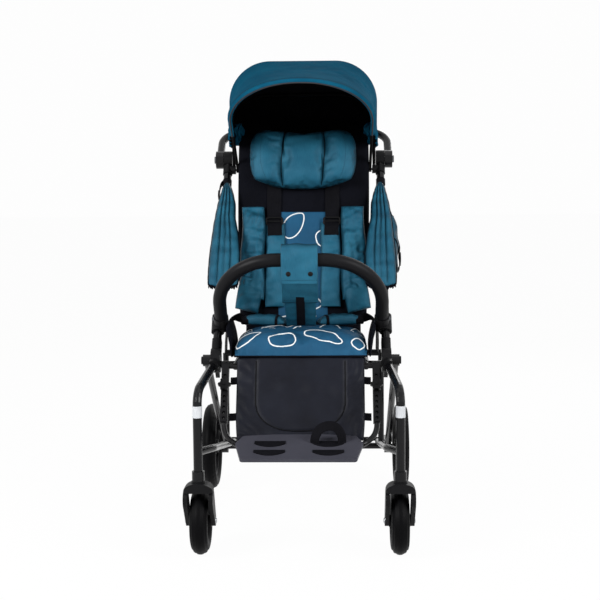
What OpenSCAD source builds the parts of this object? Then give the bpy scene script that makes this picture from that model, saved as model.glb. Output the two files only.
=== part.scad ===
// Special needs buggy: a folding tubular chassis with a padded seat, canopy and adjustable leg rest.
// Millimetres. +Z is up, the front faces -Y, and the origin is on the floor under the middle of the buggy.

/* [Wheels] */
// Diameter of the rear tyres
rear_wheel_d = 250; // [230:5:280]
// Width of the rear tyres
rear_tyre_w = 40; // [34:1:42]
// How far the middle of each rear tyre stands outside its upright
wheel_outset = 61; // [57:1:90]
// Rear axle, behind the origin
rear_axle_y = 310; // [290:5:360]
// Diameter of the caster tyres
caster_d = 164; // [150:2:176]
// Width of the caster tyres
caster_w = 44; // [36:1:46]
// How far each caster's swivel axis stands outside its upright
caster_outset = 24; // [20:1:40]
// Swivel axis, in front of the origin
swivel_y = 375; // [360:5:400]
// How far the caster axle trails the swivel axis
caster_trail = 45; // [30:1:50]

/* [Frame] */
// Diameter of the main frame tubes
tube_d = 22; // [20:1:24]
// Wall of every frame tube
tube_wall = 2; // [1.5:0.5:3]
// Distance between the uprights
upright_span = 436; // [430:2:446]
// Main fold pivot, in front of the origin
pivot_y = 150; // [140:5:170]
// Main fold pivot, above the floor
pivot_z = 450; // [440:5:470]
// Handle hub, behind the origin
hub_y = 290; // [270:5:310]
// Handle hub, above the floor
hub_z = 968; // [940:2:1000]
// Length of the push bar's arms
push_arm = 140; // [110:5:150]

/* [Seat] */
// From the seat cushion's side to the middle of the upright
seat_side_gap = 45.5; // [45.5:0.5:68]
// Depth of the seat cushion
seat_depth = 222; // [190:2:224]
// Height of the seat cushion's top
seat_z = 522; // [516:1:528]
// Thickness of the seat cushion
cushion_t = 65; // [56:1:65]
// From the backrest pad's side to the middle of the upright
back_side_gap = 43; // [42:1:58]
// Length of the backrest pad
back_h = 560; // [520:5:580]
// Lean of the backrest from upright, in degrees
recline = 20; // [16:1:24]

/* [Leg rest] */
// Slope of the leg rest from upright, in degrees
leg_angle = 30; // [26:1:34]
// Length of the perforated hangers
hanger_len = 150; // [140:2:156]
// From the middle of each hanger to the middle of the upright
hanger_inset = 28; // [26:0.5:30]
// Width of the footplate at its rear edge
plate_w = 308; // [290:2:320]
// Depth of the footplate
plate_depth = 132; // [120:1:140]
// Tilt of the footplate, toes down, in degrees
plate_tilt = 14; // [8:1:20]

/* [Bumper and canopy] */
// Diameter of the bumper's foam sleeve
foam_d = 34; // [30:1:36]
// How far the bumper's arms stand inside the uprights
bumper_inset = 10; // [8:1:13]
// Length of the bumper's arms
bumper_arm = 196; // [180:2:220]
// How far the legs of the canopy bows stand inside the uprights
bow_inset = 18; // [16:1:22]
// Reach of the front bow
front_reach = 441; // [400:5:460]
// Slope of the front bow, in degrees
front_slope = 30; // [26:1:36]
// Reach of the middle bow
mid_reach = 300; // [285:2:310]
// Slope of the middle bow, in degrees
mid_slope = 77; // [72:1:82]
// Reach of the rear bow
rear_reach = 235; // [220:2:240]
// Slope of the rear bow, in degrees
rear_slope = 112; // [108:1:116]

/* [Hidden] */
$fn = 32;

// Clearances
run_gap = 0.08;
face_gap = 0.3;
soft_gap = 0.5;

// Sides of a swept tube, and its rings at each bend
tube_sides = 16;
bend_steps = 6;

// Derived places
tube_r = tube_d / 2;
upright_x = upright_span / 2;
rear_track = upright_span + 2 * wheel_outset;
front_track = upright_span + 2 * caster_outset;
seat_w = upright_span - 2 * seat_side_gap;
back_w = upright_span - 2 * back_side_gap;
hanger_span = upright_span - 2 * hanger_inset;
pivot = [upright_x, -pivot_y, pivot_z];
hub = [upright_x, hub_y, hub_z];
upright_dir = (hub - pivot) / norm(hub - pivot);
upright_len = norm(hub - pivot);
upright_tilt = atan2(hub_y + pivot_y, hub_z - pivot_z);
rear_axle = [rear_track / 2, rear_axle_y, rear_wheel_d / 2];
swivel_x = front_track / 2;
caster_axle_z = caster_d / 2;

// Front leg and caster head
head_z = 216;
leg_bend_z = 408;
leg_bend_r = 42;
band_z = 346;
band_h = 28;
stem_r = 6;
stem_len = 22;
head_r = 15;
head_len = 24;

// Joint block and rear leg
block_t = tube_d + 2;
block_r = 31;
block_face = upright_x + block_t / 2;
rear_leg_r = 10;
rear_leg_x = block_face + 1 + rear_leg_r;
pin_r = 6;
axle_r = 6;
bracket_r = 20;
axle_tube_r = 9;
rail_r = 9;
rail_z = 262;
rail_x = upright_x - 6;
seat_rail_x = seat_w / 2 - 7.5;
seat_rail_r = 9;
board_t = 8;
board_z = seat_z - cushion_t - board_t - soft_gap;
seat_rail_z = board_z - seat_rail_r;
seat_front_y = -187;
stay_y = 60;
stay_r = 8;

// Leg rest frame: s runs down the hangers, n stands out of them
leg_pivot = [0, seat_front_y + 2, seat_rail_z];
hanger_w = 18;
hanger_d = 22;
foot_leg_r = 7;
foot_cross_s = 223;
foot_cross_n = 33;
foot_cross_x = hanger_span / 2 - 40;
foot_bend_s = 178;
foot_bend_r = 58;
knob_s = 56;
knob_r = 16;
plate_t = 8;
plate_lift = 14;
plate_back = 25;

// Backrest frame
back_pivot = [0, 80, 470];
back_tube_x = back_w / 2 - 25;
back_tube_r = 8;
back_start = 45;
back_pad_t = 36;
back_base = back_tube_r - 1.1;

// Bumper
bumper_x = upright_x - bumper_inset;
bumper_pitch = 51.8;
bumper_end = [bumper_x, -105.4, 557.4];
bumper_dir = [0, -cos(bumper_pitch), sin(bumper_pitch)];
bumper_tube_r = 9;
foam_wall = foam_d / 2 - bumper_tube_r - 0.02;
bumper_plug = 18;
socket_len = 40;
bumper_bend = 150;
socket_r = 19;
button_r = 5;

// Canopy
canopy_pivot = hub - 38 * upright_dir;
bow_x = upright_x - bow_inset;
front_bow_x = bow_x - 11;
front_flat = 4;
bow_r = 4;
front_bend = front_bow_x - front_flat;
mid_bend = 110;
rear_bend = 100;
cover_t = 3;
cover_start = 68;
front_start = 190;

// Handle
push_x = upright_x + block_t / 2 + 1 + tube_r;
push_slope = 36;
hub_r = 25;
push_bend = 60;

// Placing and sweeping
module both() {
    children();
    mirror([1, 0, 0]) children();
}

module side(name) {
    if (name == "left") mirror([1, 0, 0]) children();
    else children();
}

module toward(p, d) {
    translate(p) rotate([0, acos(d[2] / norm(d)), atan2(d[1], d[0])]) children();
}

module rod(p, q, r) {
    toward(p, q - p) cylinder(h = norm(q - p), r = r);
}

module ring(r, wall) {
    difference() {
        circle(r = r);
        if (wall > 0) circle(r = r - wall);
    }
}

function unit(v) = v / norm(v);
function turn(a, b, c) = acos(unit(b - a) * unit(c - b));
function setback(pts, i, bend) =
    i == 0 || i == len(pts) - 1 ? 0 : bend * tan(turn(pts[i - 1], pts[i], pts[i + 1]) / 2);

// A tube along points, with a true arc of radius bend at each corner; wall 0 makes it solid
module bent_tube(pts, bend, r, wall = 0) {
    last = len(pts) - 1;
    for (i = [0:last - 1]) {
        d = unit(pts[i + 1] - pts[i]);
        p = pts[i] + d * setback(pts, i, bend);
        q = pts[i + 1] - d * setback(pts, i + 1, bend);
        if (norm(q - p) > 0.01) toward(p, d) linear_extrude(norm(q - p)) ring(r, wall);
    }
    for (i = [1:1:last - 1]) {
        d = unit(pts[i] - pts[i - 1]);
        e = unit(pts[i + 1] - pts[i]);
        n = unit(cross(d, e));
        m = cross(n, d);
        c = pts[i] - d * setback(pts, i, bend) + m * bend;
        multmatrix([[-m[0], d[0], n[0], c[0]], [-m[1], d[1], n[1], c[1]], [-m[2], d[2], n[2], c[2]]])
            rotate_extrude(angle = turn(pts[i - 1], pts[i], pts[i + 1]), $fn = 96)
                translate([bend, 0]) ring(r, wall);
    }
}

// The points of a route whose corners are rounded to radius bend, each with its heading
function rounded_route(pts, bend) = [for (i = [0:len(pts) - 1])
    let (last = len(pts) - 1, d = unit(pts[max(i, 1)] - pts[max(i, 1) - 1]),
        e = unit(pts[min(i + 1, last)] - pts[min(i + 1, last) - 1]))
    each i == 0 ? [[pts[0], e]] : i == last ? [[pts[last], d]] :
        let (m = cross(unit(cross(d, e)), d), angle = turn(pts[i - 1], pts[i], pts[i + 1]),
            c = pts[i] - d * setback(pts, i, bend) + m * bend)
        [for (k = [0:bend_steps]) let (a = angle * k / bend_steps)
            [c - m * bend * cos(a) + d * bend * sin(a), d * cos(a) + m * sin(a)]]];

// A solid tube swept along a rounded route; ref is a direction that no part of the route follows
module swept_tube(pts, bend, r, ref) {
    route = rounded_route(pts, bend);
    rings = [for (p = route) let (n = unit(cross(p[1], ref)), b = cross(p[1], n))
        [for (k = [0:tube_sides - 1]) let (a = 360 * k / tube_sides) p[0] + r * (n * cos(a) + b * sin(a))]];
    count = len(rings);
    faces = concat([[for (k = [0:tube_sides - 1]) k]],
        [[for (k = [tube_sides - 1:-1:0]) (count - 1) * tube_sides + k]],
        [for (j = [0:count - 2]) for (k = [0:tube_sides - 1])
            let (a = j * tube_sides + k, b = j * tube_sides + (k + 1) % tube_sides)
            each [[a, a + tube_sides, b + tube_sides], [a, b + tube_sides, b]]]);
    polyhedron(points = [for (row = rings) for (p = row) p], faces = faces, convexity = 6);
}

// A closed solid between two grids of points, each a list of rows; the first grid is the outer face
module skin(outer, inner) {
    rows = len(outer);
    cols = len(outer[0]);
    size = rows * cols;
    pts = concat([for (row = outer) for (p = row) p], [for (row = inner) for (p = row) p]);
    rim = concat([for (i = [0:cols - 2]) i], [for (j = [0:rows - 2]) j * cols + cols - 1],
        [for (i = [cols - 1:-1:1]) (rows - 1) * cols + i], [for (j = [rows - 1:-1:1]) j * cols]);
    faces = concat(
        [for (j = [0:rows - 2]) for (i = [0:cols - 2]) let (a = j * cols + i)
            each [[a, a + cols, a + cols + 1], [a, a + cols + 1, a + 1]]],
        [for (j = [0:rows - 2]) for (i = [0:cols - 2]) let (a = size + j * cols + i)
            each [[a, a + cols + 1, a + cols], [a, a + 1, a + cols + 1]]],
        [for (k = [0:len(rim) - 1]) let (a = rim[k], b = rim[(k + 1) % len(rim)])
            each [[a, b, size + b], [a, size + b, size + a]]]);
    polyhedron(points = pts, faces = faces, convexity = 6);
}

// How full a sewn pad is at u and v, which run from -1 to 1: 0 on the seam and 1 inside
function fullness(u, v) = sqrt(max(0, (1 - pow(abs(u), 6)) * (1 - pow(abs(v), 6))));

// A groove of unit depth along u = at
function groove(u, at, width) = exp(-pow((u - at) / width, 2));

// A crowned pad: w wide, l long and t thick on a flat back, with drawn-in sides and sewn channels.
// channels lists the places across the width, wrap lifts the side edges forward
module pad(w, l, t, nx = 14, ny = 14, waist = 0.03, channels = [], depth = 0.25, wrap = 0, round = 0.2) {
    edge = 0.3;
    function across(u, v) = w / 2 * u * sqrt(1 - round * v * v / 2) * (1 - waist * (1 - v * v));
    function along(u, v) = l / 2 * v * sqrt(1 - round * u * u / 2) * (1 - waist * (1 - u * u) * abs(v));
    function dent(u) = len(channels) == 0 ? 0 : max([for (c = channels) groove(u, c, 0.07)]);
    function lift(u) = wrap * pow(abs(u), 3);
    function rise(u, v) = edge + (1 - edge) * fullness(u, v);
    function front(u, v) = lift(u) + t * rise(u, v) * (1 - depth * dent(u) * fullness(u, v));
    function back(u, v) = lift(u) + t * (edge - 0.12) * (1 - fullness(u, v));
    grid = [for (j = [0:ny]) [for (i = [0:nx]) [2 * i / nx - 1, 2 * j / ny - 1]]];
    skin([for (row = grid) [for (p = row) [across(p[0], p[1]), along(p[0], p[1]), front(p[0], p[1])]]],
        [for (row = grid) [for (p = row) [across(p[0], p[1]), along(p[0], p[1]), back(p[0], p[1])]]]);
}

// Frames of the leaning sub-assemblies
module on_backrest() {
    translate(back_pivot) rotate([90 - recline, 0, 0]) children();
}

module on_legrest() {
    translate(leg_pivot) rotate([90 - leg_angle, 0, 0]) children();
}

module on_upright(h) {
    translate(pivot + h * upright_dir) rotate([-upright_tilt, 0, 0]) children();
}

// A flat link between two round ends, in 2D
module link(p, q, rp, rq) {
    reach = norm(q - p);
    heading = atan2(q[1] - p[1], q[0] - p[0]);
    spread = acos((rp - rq) / reach);
    translate(p) circle(r = rp);
    translate(q) circle(r = rq);
    polygon([p + rp * [cos(heading + spread), sin(heading + spread)],
        p + rp * [cos(heading - spread), sin(heading - spread)],
        q + rq * [cos(heading - spread), sin(heading - spread)],
        q + rq * [cos(heading + spread), sin(heading + spread)]]);
}

// A link drawn in the plane of a side view, from x0 and t thick towards +X
module side_link(p, q, rp, rq, x0, t) {
    translate([x0, 0, 0]) rotate([90, 0, 90]) linear_extrude(t) link(p, q, rp, rq);
}

// A cylinder along X from x0, t long
module disc(p, r, x0, t) {
    translate([x0, p[1], p[2]]) rotate([0, 90, 0]) cylinder(h = t, r = r);
}

// Front leg: one bent tube with the caster head at its foot
leg_foot = [swivel_x, -swivel_y, head_z];
leg_bend = [swivel_x, -swivel_y, leg_bend_z];
leg_start = pivot + 26 * unit(leg_bend - pivot);

module leg_tube() {
    swept_tube([leg_start, leg_bend, leg_foot], leg_bend_r, tube_r, [1, 0, 0]);
}

module front_leg(name) {
    color("#1c1c1e") side(name) {
        leg_tube();
        difference() {
            translate(leg_foot - [0, 0, head_len]) cylinder(h = head_len, r = head_r);
            translate(leg_foot - [0, 0, head_len + 1]) cylinder(h = head_len + 2, r = stem_r + run_gap);
        }
    }
}

// Lower rails: bent out to the front legs, ending just over the rear axle
rail_front = [swivel_x, -swivel_y, rail_z];
rail_bend = [rail_x, -swivel_y + 75, rail_z - 6];
rail_tail = [rail_x, rear_axle_y - 14, rear_axle[2] + 16];

module rail_tube() {
    swept_tube([rail_front, rail_bend, rail_tail], 60, rail_r, [0, 0, 1]);
}

module lower_rails() {
    color("#1c1c1e") both() difference() {
        rail_tube();
        translate([swivel_x, -swivel_y, rail_z - 40]) cylinder(h = 80, r = tube_r);
    }
}

// Uprights: straight tubes from the joint blocks to the handle hubs
upright_start = 26;
upright_end = upright_len - 4;

module upright_bar(r, wall = 0) {
    on_upright(upright_start) linear_extrude(upright_end - upright_start) ring(r, wall);
}

module uprights() {
    color("#1c1c1e") both() upright_bar(tube_r, tube_wall);
}

// Joint blocks: plastic housings that hold the front leg and the upright and carry the rear leg's pin
lever_pin = pivot + [0, 14, -16];
lever_w = 10;
lever_r = 9;

module joint_blocks() {
    collar = 60;
    color("#202022") both() {
        difference() {
            intersection() {
                union() {
                    disc(pivot, block_r, upright_x - block_t / 2, block_t);
                    on_upright(0) cylinder(h = collar, r = tube_r + 5);
                    toward(pivot, leg_bend - pivot) cylinder(h = collar - 8, r = tube_r + 5);
                }
                translate([upright_x - block_t / 2, -500, 0]) cube([block_t, 1000, 1000]);
            }
            upright_bar(tube_r);
            toward(leg_start, leg_bend - pivot) cylinder(h = 60, r = tube_r);
            disc(lever_pin, lever_r + 4, upright_x - lever_w / 2 - face_gap, lever_w + 2 * face_gap);
            disc(lever_pin + [0, 18, -20], 20, upright_x - lever_w / 2 - face_gap, lever_w + 2 * face_gap);
            disc(lever_pin + [0, 24, -14], 20, upright_x - lever_w / 2 - face_gap, lever_w + 2 * face_gap);
        }
        disc(pivot, pin_r, block_face - 2, 2 * rear_leg_r + 3.3);
        disc(pivot, pin_r + 4, block_face + 1.3 + 2 * rear_leg_r, 4);
        disc(lever_pin, 3, upright_x - block_t / 2, block_t);
    }
}

// Fold lever: a finger paddle under the joint block
module fold_lever(name) {
    color("#2a2a2c") side(name) difference() {
        side_link([lever_pin[1], lever_pin[2]], [lever_pin[1] + 28, lever_pin[2] - 30], lever_r, 6,
            upright_x - lever_w / 2, lever_w);
        disc(lever_pin, 3 + run_gap, upright_x - lever_w, 2 * lever_w);
    }
}

// Seat frame: two rails with cross tubes, posts down to the lower rails, and the leg rest and backrest pins
hinge_plate_x = back_tube_x + 10;

module seat_frame() {
    front_cross = [0, -pivot_y, seat_rail_z];
    rear_cross = [0, stay_y, seat_rail_z];
    inner_face = upright_x - block_t / 2;
    rail_fall = (rail_tail[2] - rail_bend[2]) / (rail_tail[1] - rail_bend[1]);
    rail_height = rail_bend[2] + rail_fall * (stay_y - rail_bend[1]);
    rail_ends = [[seat_rail_x, leg_pivot[1], seat_rail_z], [seat_rail_x, stay_y + 20, seat_rail_z]];
    back_pin_x = back_tube_x - back_tube_r;
    color("#1c1c1e") {
        difference() {
            union() {
                both() rod(rail_ends[0], rail_ends[1], seat_rail_r);
                disc(front_cross, seat_rail_r, -inner_face, 2 * inner_face);
                disc(rear_cross, seat_rail_r, -rail_x, 2 * rail_x);
                both() rod([rail_x, stay_y, rail_height], [rail_x, stay_y, seat_rail_z], stay_r);
                disc(leg_pivot, pin_r, -hanger_span / 2 - hanger_w / 2, hanger_span + hanger_w);
                both() side_link([stay_y, seat_rail_z], [back_pivot[1], back_pivot[2]],
                    14, 11, hinge_plate_x, 6);
                both() disc(back_pivot, pin_r, back_pin_x, hinge_plate_x - back_pin_x + 2);
            }
            both() rod(rail_bend, rail_tail, rail_r);
        }
    }
}

module seat_board() {
    color("#141415") translate([-seat_rail_x + 5, seat_front_y + 6, board_z])
        cube([2 * seat_rail_x - 10, seat_depth + 10, board_t]);
}

// Soft seat: the cushion, and the hip belts lying on it
module seat_cushion() {
    color("#22586c") translate([0, seat_front_y + seat_depth / 2, seat_z - cushion_t])
        pad(seat_w, seat_depth, cushion_t, 18, 16, 0.02, [], 0, 0, 0.12);
}

belt_len = 112;
module hip_belts() {
    color("#1f5a68") both() translate([seat_w / 2 - 70.5, -8, seat_z - 0.6 * soft_gap]) rotate([0, 0, 14])
        pad(belt_len, 36, 26, 8, 8, 0.02);
}

module reflective_bands() {
    color("#d9dadc") both() translate([swivel_x, -swivel_y, band_z])
        linear_extrude(band_h) ring(tube_r + 0.7, 0.65);
}

// Bumper: foam-covered tube plugged into clamps on the uprights
socket_h = (bumper_end - pivot) * upright_dir;
button_spot = bumper_end - bumper_plug / 2 * bumper_dir;

module bumper_sockets() {
    color("#202022") both() difference() {
        union() {
            toward(bumper_end - socket_len * bumper_dir, bumper_dir)
                cylinder(h = socket_len - soft_gap, r = socket_r);
            on_upright(socket_h - 25) cylinder(h = 50, r = tube_r + 6);
        }
        upright_bar(tube_r);
        toward(bumper_end - (bumper_plug + 2) * bumper_dir, bumper_dir)
            cylinder(h = 2 * bumper_plug, r = bumper_tube_r + run_gap);
        disc(button_spot, button_r + run_gap, bumper_x + 11, 30);
    }
}

module bumper_button(name) {
    color("#9a9b9e") side(name) disc(button_spot, button_r, bumper_x + 14.5, 9.5);
}

// Turns the plane of the bumper's U to its pitch
module on_bumper() {
    translate([0, bumper_end[1], bumper_end[2]]) rotate([180 - bumper_pitch, 0, 0]) children();
}

function u_path(x, start, reach) = [[-x, start, 0], [-x, reach, 0], [x, reach, 0], [x, start, 0]];

module bumper_tube() {
    color("#3a3a3c") on_bumper()
        bent_tube(u_path(bumper_x, -bumper_plug, bumper_arm), bumper_bend, bumper_tube_r, tube_wall);
}

module bumper_foam() {
    color("#161617") on_bumper()
        bent_tube(u_path(bumper_x, 0, bumper_arm), bumper_bend, foam_d / 2, foam_wall);
}

// Crotch strap: a sleeve round the foam and a panel that hangs down to the seat
strap_w = 92;
strap_foot_w = 76;
strap_t = 7;
strap_line = [[-220, 696], [-214, 664], [-190, 628], [-158, 592], [-126, 558], [-100, 530]];

module crotch_strap() {
    bar = bumper_end + bumper_arm * bumper_dir;
    last = len(strap_line) - 1;
    function half(k) = (strap_w + (strap_foot_w - strap_w) * k / last) / 2;
    function row(k, lift) = [for (u = [-1:0.5:1])
        [u * half(k), strap_line[last - k][0] - lift * 0.8, strap_line[last - k][1] - lift * 0.6]];
    color("#22586c") {
        difference() {
            disc(bar, foam_d / 2 + 4, -strap_w / 2, strap_w);
            disc(bar, foam_d / 2 + soft_gap, -strap_w, 2 * strap_w);
        }
        difference() {
            skin([for (k = [0:last]) row(k, strap_t)], [for (k = [0:last]) row(k, 0)]);
            disc(bar, foam_d / 2 + soft_gap, -strap_w, 2 * strap_w);
        }
    }
}

// Side wings: quilted pads laid along the front of the uprights
wing_w = 72;
wing_len = 360;
wing_at = 396;

module side_wing(name) {
    color("#22586c") side(name) on_upright(wing_at) translate([-4, -tube_r - soft_gap, 0]) rotate([90, 0, 0])
        pad(wing_w, wing_len, 22, 16, 12, 0.02, [-0.4, 0, 0.4], 0.3);
}

module side_bag() {
    color("#22586c") on_upright(400) translate([tube_r - 1.4 * soft_gap, 45, 0]) rotate([90, 0, 90])
        pad(110, 190, 34, 10, 10, 0.02);
}

// Canopy: three bows on clamps at the top of the uprights, with a cover between each two
clamp_r = 12;
clamp_fore = 10;
clamp_aft = 17;

module canopy_clamps() {
    color("#202022") both() difference() {
        union() {
            translate(canopy_pivot - clamp_aft * upright_dir) rotate([-upright_tilt, 0, 0])
                cylinder(h = clamp_aft + clamp_fore, r = tube_r + 2.5);
            disc(canopy_pivot, clamp_r, bow_x - bow_r - 1, upright_x - bow_x + bow_r);
            disc(canopy_pivot, 3, front_bow_x - bow_r - 2, upright_x - front_bow_x);
        }
        upright_bar(tube_r);
    }
}

// Turns the plane of a bow to its slope
module on_bow(slope) {
    translate([0, canopy_pivot[1], canopy_pivot[2]]) rotate([-slope, 0, 0]) children();
}

module bow(x, reach, bend, start) {
    bent_tube([[-x, -start, 0], [-x, -reach, 0], [x, -reach, 0], [x, -start, 0]], bend, bow_r);
}

module canopy_rear_bow() {
    color("#2b2b2d") on_bow(rear_slope) bow(bow_x, rear_reach, rear_bend, clamp_r);
}

module canopy_middle_bow() {
    color("#2b2b2d") on_bow(mid_slope) bow(bow_x, mid_reach, mid_bend, clamp_r);
}

module canopy_front_bow() {
    color("#2b2b2d") on_bow(front_slope) difference() {
        union() {
            bow(front_bow_x, front_reach, front_bend, 0);
            both() disc([0, 0, 0], 8, front_bow_x - bow_r, 2 * bow_r);
        }
        both() disc([0, 0, 0], 3 + run_gap, front_bow_x - 2 * bow_r, 4 * bow_r);
    }
}

// Stations along a bow: leg, corner, top, corner, leg, each with a share of its stretch
stations = concat([for (f = [0:0.5:1]) [0, f]], [for (f = [0.1:0.1:1]) [1, f]],
    [for (f = [0.5:0.5:1]) [2, f]], [for (f = [0.1:0.1:1]) [3, f]], [for (f = [0.5:0.5:1]) [4, f]]);

function bow_spot(st, x, reach, bend, start) =
    st[0] == 0 ? [-x, start + (reach - bend - start) * st[1]] :
    st[0] == 1 ? [bend - x - bend * cos(90 * st[1]), reach - bend + bend * sin(90 * st[1])] :
    st[0] == 2 ? [(x - bend) * (2 * st[1] - 1), reach] :
    st[0] == 3 ? [x - bend + bend * sin(90 * st[1]), reach - bend + bend * cos(90 * st[1])] :
    [x, reach - bend - (reach - bend - start) * st[1]];

// The line of a bow, set out by a distance, as points in the buggy's frame
function bow_line(slope, x, reach, bend, out, start) = [for (st = stations)
    let (p = bow_spot(st, x + out, reach + out, bend + out, start))
        [p[0], canopy_pivot[1] - p[1] * cos(slope), canopy_pivot[2] + p[1] * sin(slope)]];

function front_line(out) = bow_line(front_slope, front_bow_x, front_reach, front_bend, out, front_start);
function mid_line(out, slope = mid_slope) = bow_line(slope, bow_x, mid_reach, mid_bend, out, cover_start);
function rear_line(out) = bow_line(rear_slope, bow_x, rear_reach, rear_bend, out, cover_start);

// A cover stretched between two bow lines, with a little sag across the middle
module cover(from, to, from_in, to_in, sag) {
    steps = 5;
    function row(a, b, f) = [for (i = [0:len(a) - 1]) a[i] + (b[i] - a[i]) * f
        - [a[i][0] / bow_x * sag, 0, sag] * sin(180 * f)];
    skin([for (k = [0:steps]) row(from, to, k / steps)],
        [for (k = [0:steps]) row(from_in, to_in, k / steps)]);
}

cover_in = bow_r + 2 * soft_gap;
cover_out = cover_in + cover_t;
// More room where a cover leaves its bow at a steep angle
front_lift = 1.4;
mid_lift = 1.2;

module canopy_front_cover() {
    color("#1f5468") cover(front_line(cover_out + front_lift), mid_line(cover_out, mid_slope - 0.6),
        front_line(cover_in + front_lift), mid_line(cover_in, mid_slope - 0.6), 0);
}

module canopy_rear_cover() {
    valance = 105;
    color("#1f5468") {
        cover(mid_line(cover_out + mid_lift), rear_line(cover_out), mid_line(cover_in + mid_lift),
            rear_line(cover_in), 0);
        on_bow(rear_slope) translate([0, 0, -1.5]) linear_extrude(3) intersection() {
            translate([cover_in - bow_x, cover_in - rear_reach])
                square([2 * bow_x - 2 * cover_in, rear_reach - valance]);
            union() {
                both() translate([bow_x - rear_bend, rear_bend - rear_reach])
                    circle(r = rear_bend - cover_in, $fn = 96);
                translate([-bow_x + rear_bend, -rear_reach]) square([2 * (bow_x - rear_bend), rear_reach]);
                translate([-bow_x, -rear_reach + rear_bend]) square([2 * bow_x, rear_reach]);
            }
        }
    }
}

// Handle: hubs on the uprights, and a push bar that turns on them
push_dir = [0, cos(push_slope), sin(push_slope)];
push_disc_t = 2 * tube_r;
push_disc_x = push_x - tube_r;
push_pin = 14;
thumb_r = 10;

module handle_hubs() {
    color("#202022") both() {
        difference() {
            disc(hub, hub_r, upright_x - block_t / 2, block_t);
            upright_bar(tube_r);
        }
        disc(hub, pin_r, block_face - 2, push_pin + 2);
    }
}

module push_bar() {
    color("#1c1c1e") difference() {
        union() {
            translate([0, hub_y, hub_z]) rotate([push_slope, 0, 0])
                bent_tube(u_path(push_x, hub_r - 6, push_arm), push_bend, tube_r, tube_wall);
            both() disc(hub, hub_r, push_disc_x, push_disc_t);
        }
        both() disc(hub, pin_r + run_gap, push_disc_x - 1, push_pin + 2);
        both() disc(hub, thumb_r + run_gap, push_disc_x + push_pin + 2, push_disc_t);
    }
}

module push_grip() {
    grip_len = 300;
    color("#161617") translate([-grip_len / 2, hub_y, hub_z] + push_arm * push_dir) rotate([90, 0, 90])
        linear_extrude(grip_len) ring(tube_r + 5, 4.98);
}

module handle_button(name) {
    color("#4a4a4d") side(name) disc(hub, thumb_r, push_disc_x + push_pin + 6.5, 6.5);
}

// Rear frame: legs that hang on the joint blocks' pins, the axle tube and the brake bar
brake_spot = [0, rear_axle_y + 40, rear_axle[2] + 12];
brake_r = 6;

module rear_leg(name) {
    eye_x = rear_leg_x - rear_leg_r;
    top = [rear_leg_x, -pivot_y, pivot_z];
    foot = [rear_leg_x, rear_axle_y, rear_axle[2]];
    color("#1c1c1e") side(name) difference() {
        union() {
            rod(top, foot, rear_leg_r - 1);
            disc(top, 15, eye_x, 2 * rear_leg_r);
            side_link([foot[1], foot[2]], [brake_spot[1], brake_spot[2]], bracket_r, 12,
                eye_x, 2 * rear_leg_r);
        }
        disc(top, pin_r + run_gap, eye_x - 1, 2 * rear_leg_r + 2);
        disc(foot, axle_tube_r + 0.02, eye_x - 1, 2 * rear_leg_r + 2);
        disc(brake_spot, brake_r + run_gap, eye_x - 1, 2 * rear_leg_r + 2);
    }
}

hub_w = 34;
hub_end = rear_track / 2 + hub_w / 2;

module rear_axle_tube() {
    tube_end = rear_leg_x + rear_leg_r;
    color("#2b2b2d") {
        disc(rear_axle, axle_tube_r, -tube_end, 2 * tube_end);
        both() disc(rear_axle, axle_r, tube_end - 1, hub_end - tube_end + 2);
        both() disc(rear_axle, 11, hub_end + face_gap, 4);
    }
}

module brake_bar() {
    bar_end = rear_leg_x + rear_leg_r + 3;
    pedal = [90, 46, 8];
    color("#232325") {
        disc(brake_spot, brake_r, -bar_end, 2 * bar_end);
        both() disc(brake_spot, brake_r + 4, rear_leg_x + rear_leg_r + face_gap, 4);
        translate(brake_spot - [pedal[0] / 2, 2, pedal[2] / 2]) cube(pedal);
    }
}

// Wheels: a round tyre on a spoked rim with a bored hub
module tyre(d, w) {
    rotate([0, 90, 0]) rotate_extrude($fn = 96) translate([d / 2 - w / 2, 0]) circle(r = w / 2);
}

module rim(d, w, hub_r, hub_len, bore, spokes) {
    seat = d / 2 - w;
    difference() {
        rotate([0, 90, 0]) {
            rotate_extrude($fn = 96) translate([seat - 6, -w * 0.3]) square([w / 2 - 4, w * 0.6]);
            cylinder(h = hub_len, r = hub_r, center = true);
            for (a = [0:360 / spokes:359]) rotate([0, 0, a]) translate([0, -7, -6]) cube([seat - 3, 14, 12]);
        }
        rotate([0, 90, 0]) rotate_extrude($fn = 96) translate([d / 2 - w / 2, 0]) circle(r = w / 2 + 0.02);
        rotate([0, 90, 0]) cylinder(h = hub_len + 2, r = bore, center = true);
    }
}

module rear_tyre(name) {
    color("#19191a") side(name) translate(rear_axle) tyre(rear_wheel_d, rear_tyre_w);
}

module rear_rim(name) {
    color("#242426") side(name) translate(rear_axle)
        rim(rear_wheel_d, rear_tyre_w, 20, hub_w, axle_r + run_gap, 6);
}

// Casters: a fork that swivels in the leg's head, and a wheel on an axle bolt
caster_axle = [swivel_x, -swivel_y + caster_trail, caster_axle_z];
fork_gap = caster_w / 2 + 4;
fork_t = 10;
fork_out = fork_gap + fork_t;
fork_top = head_z - head_len - face_gap;
caster_bore = 5;

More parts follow.
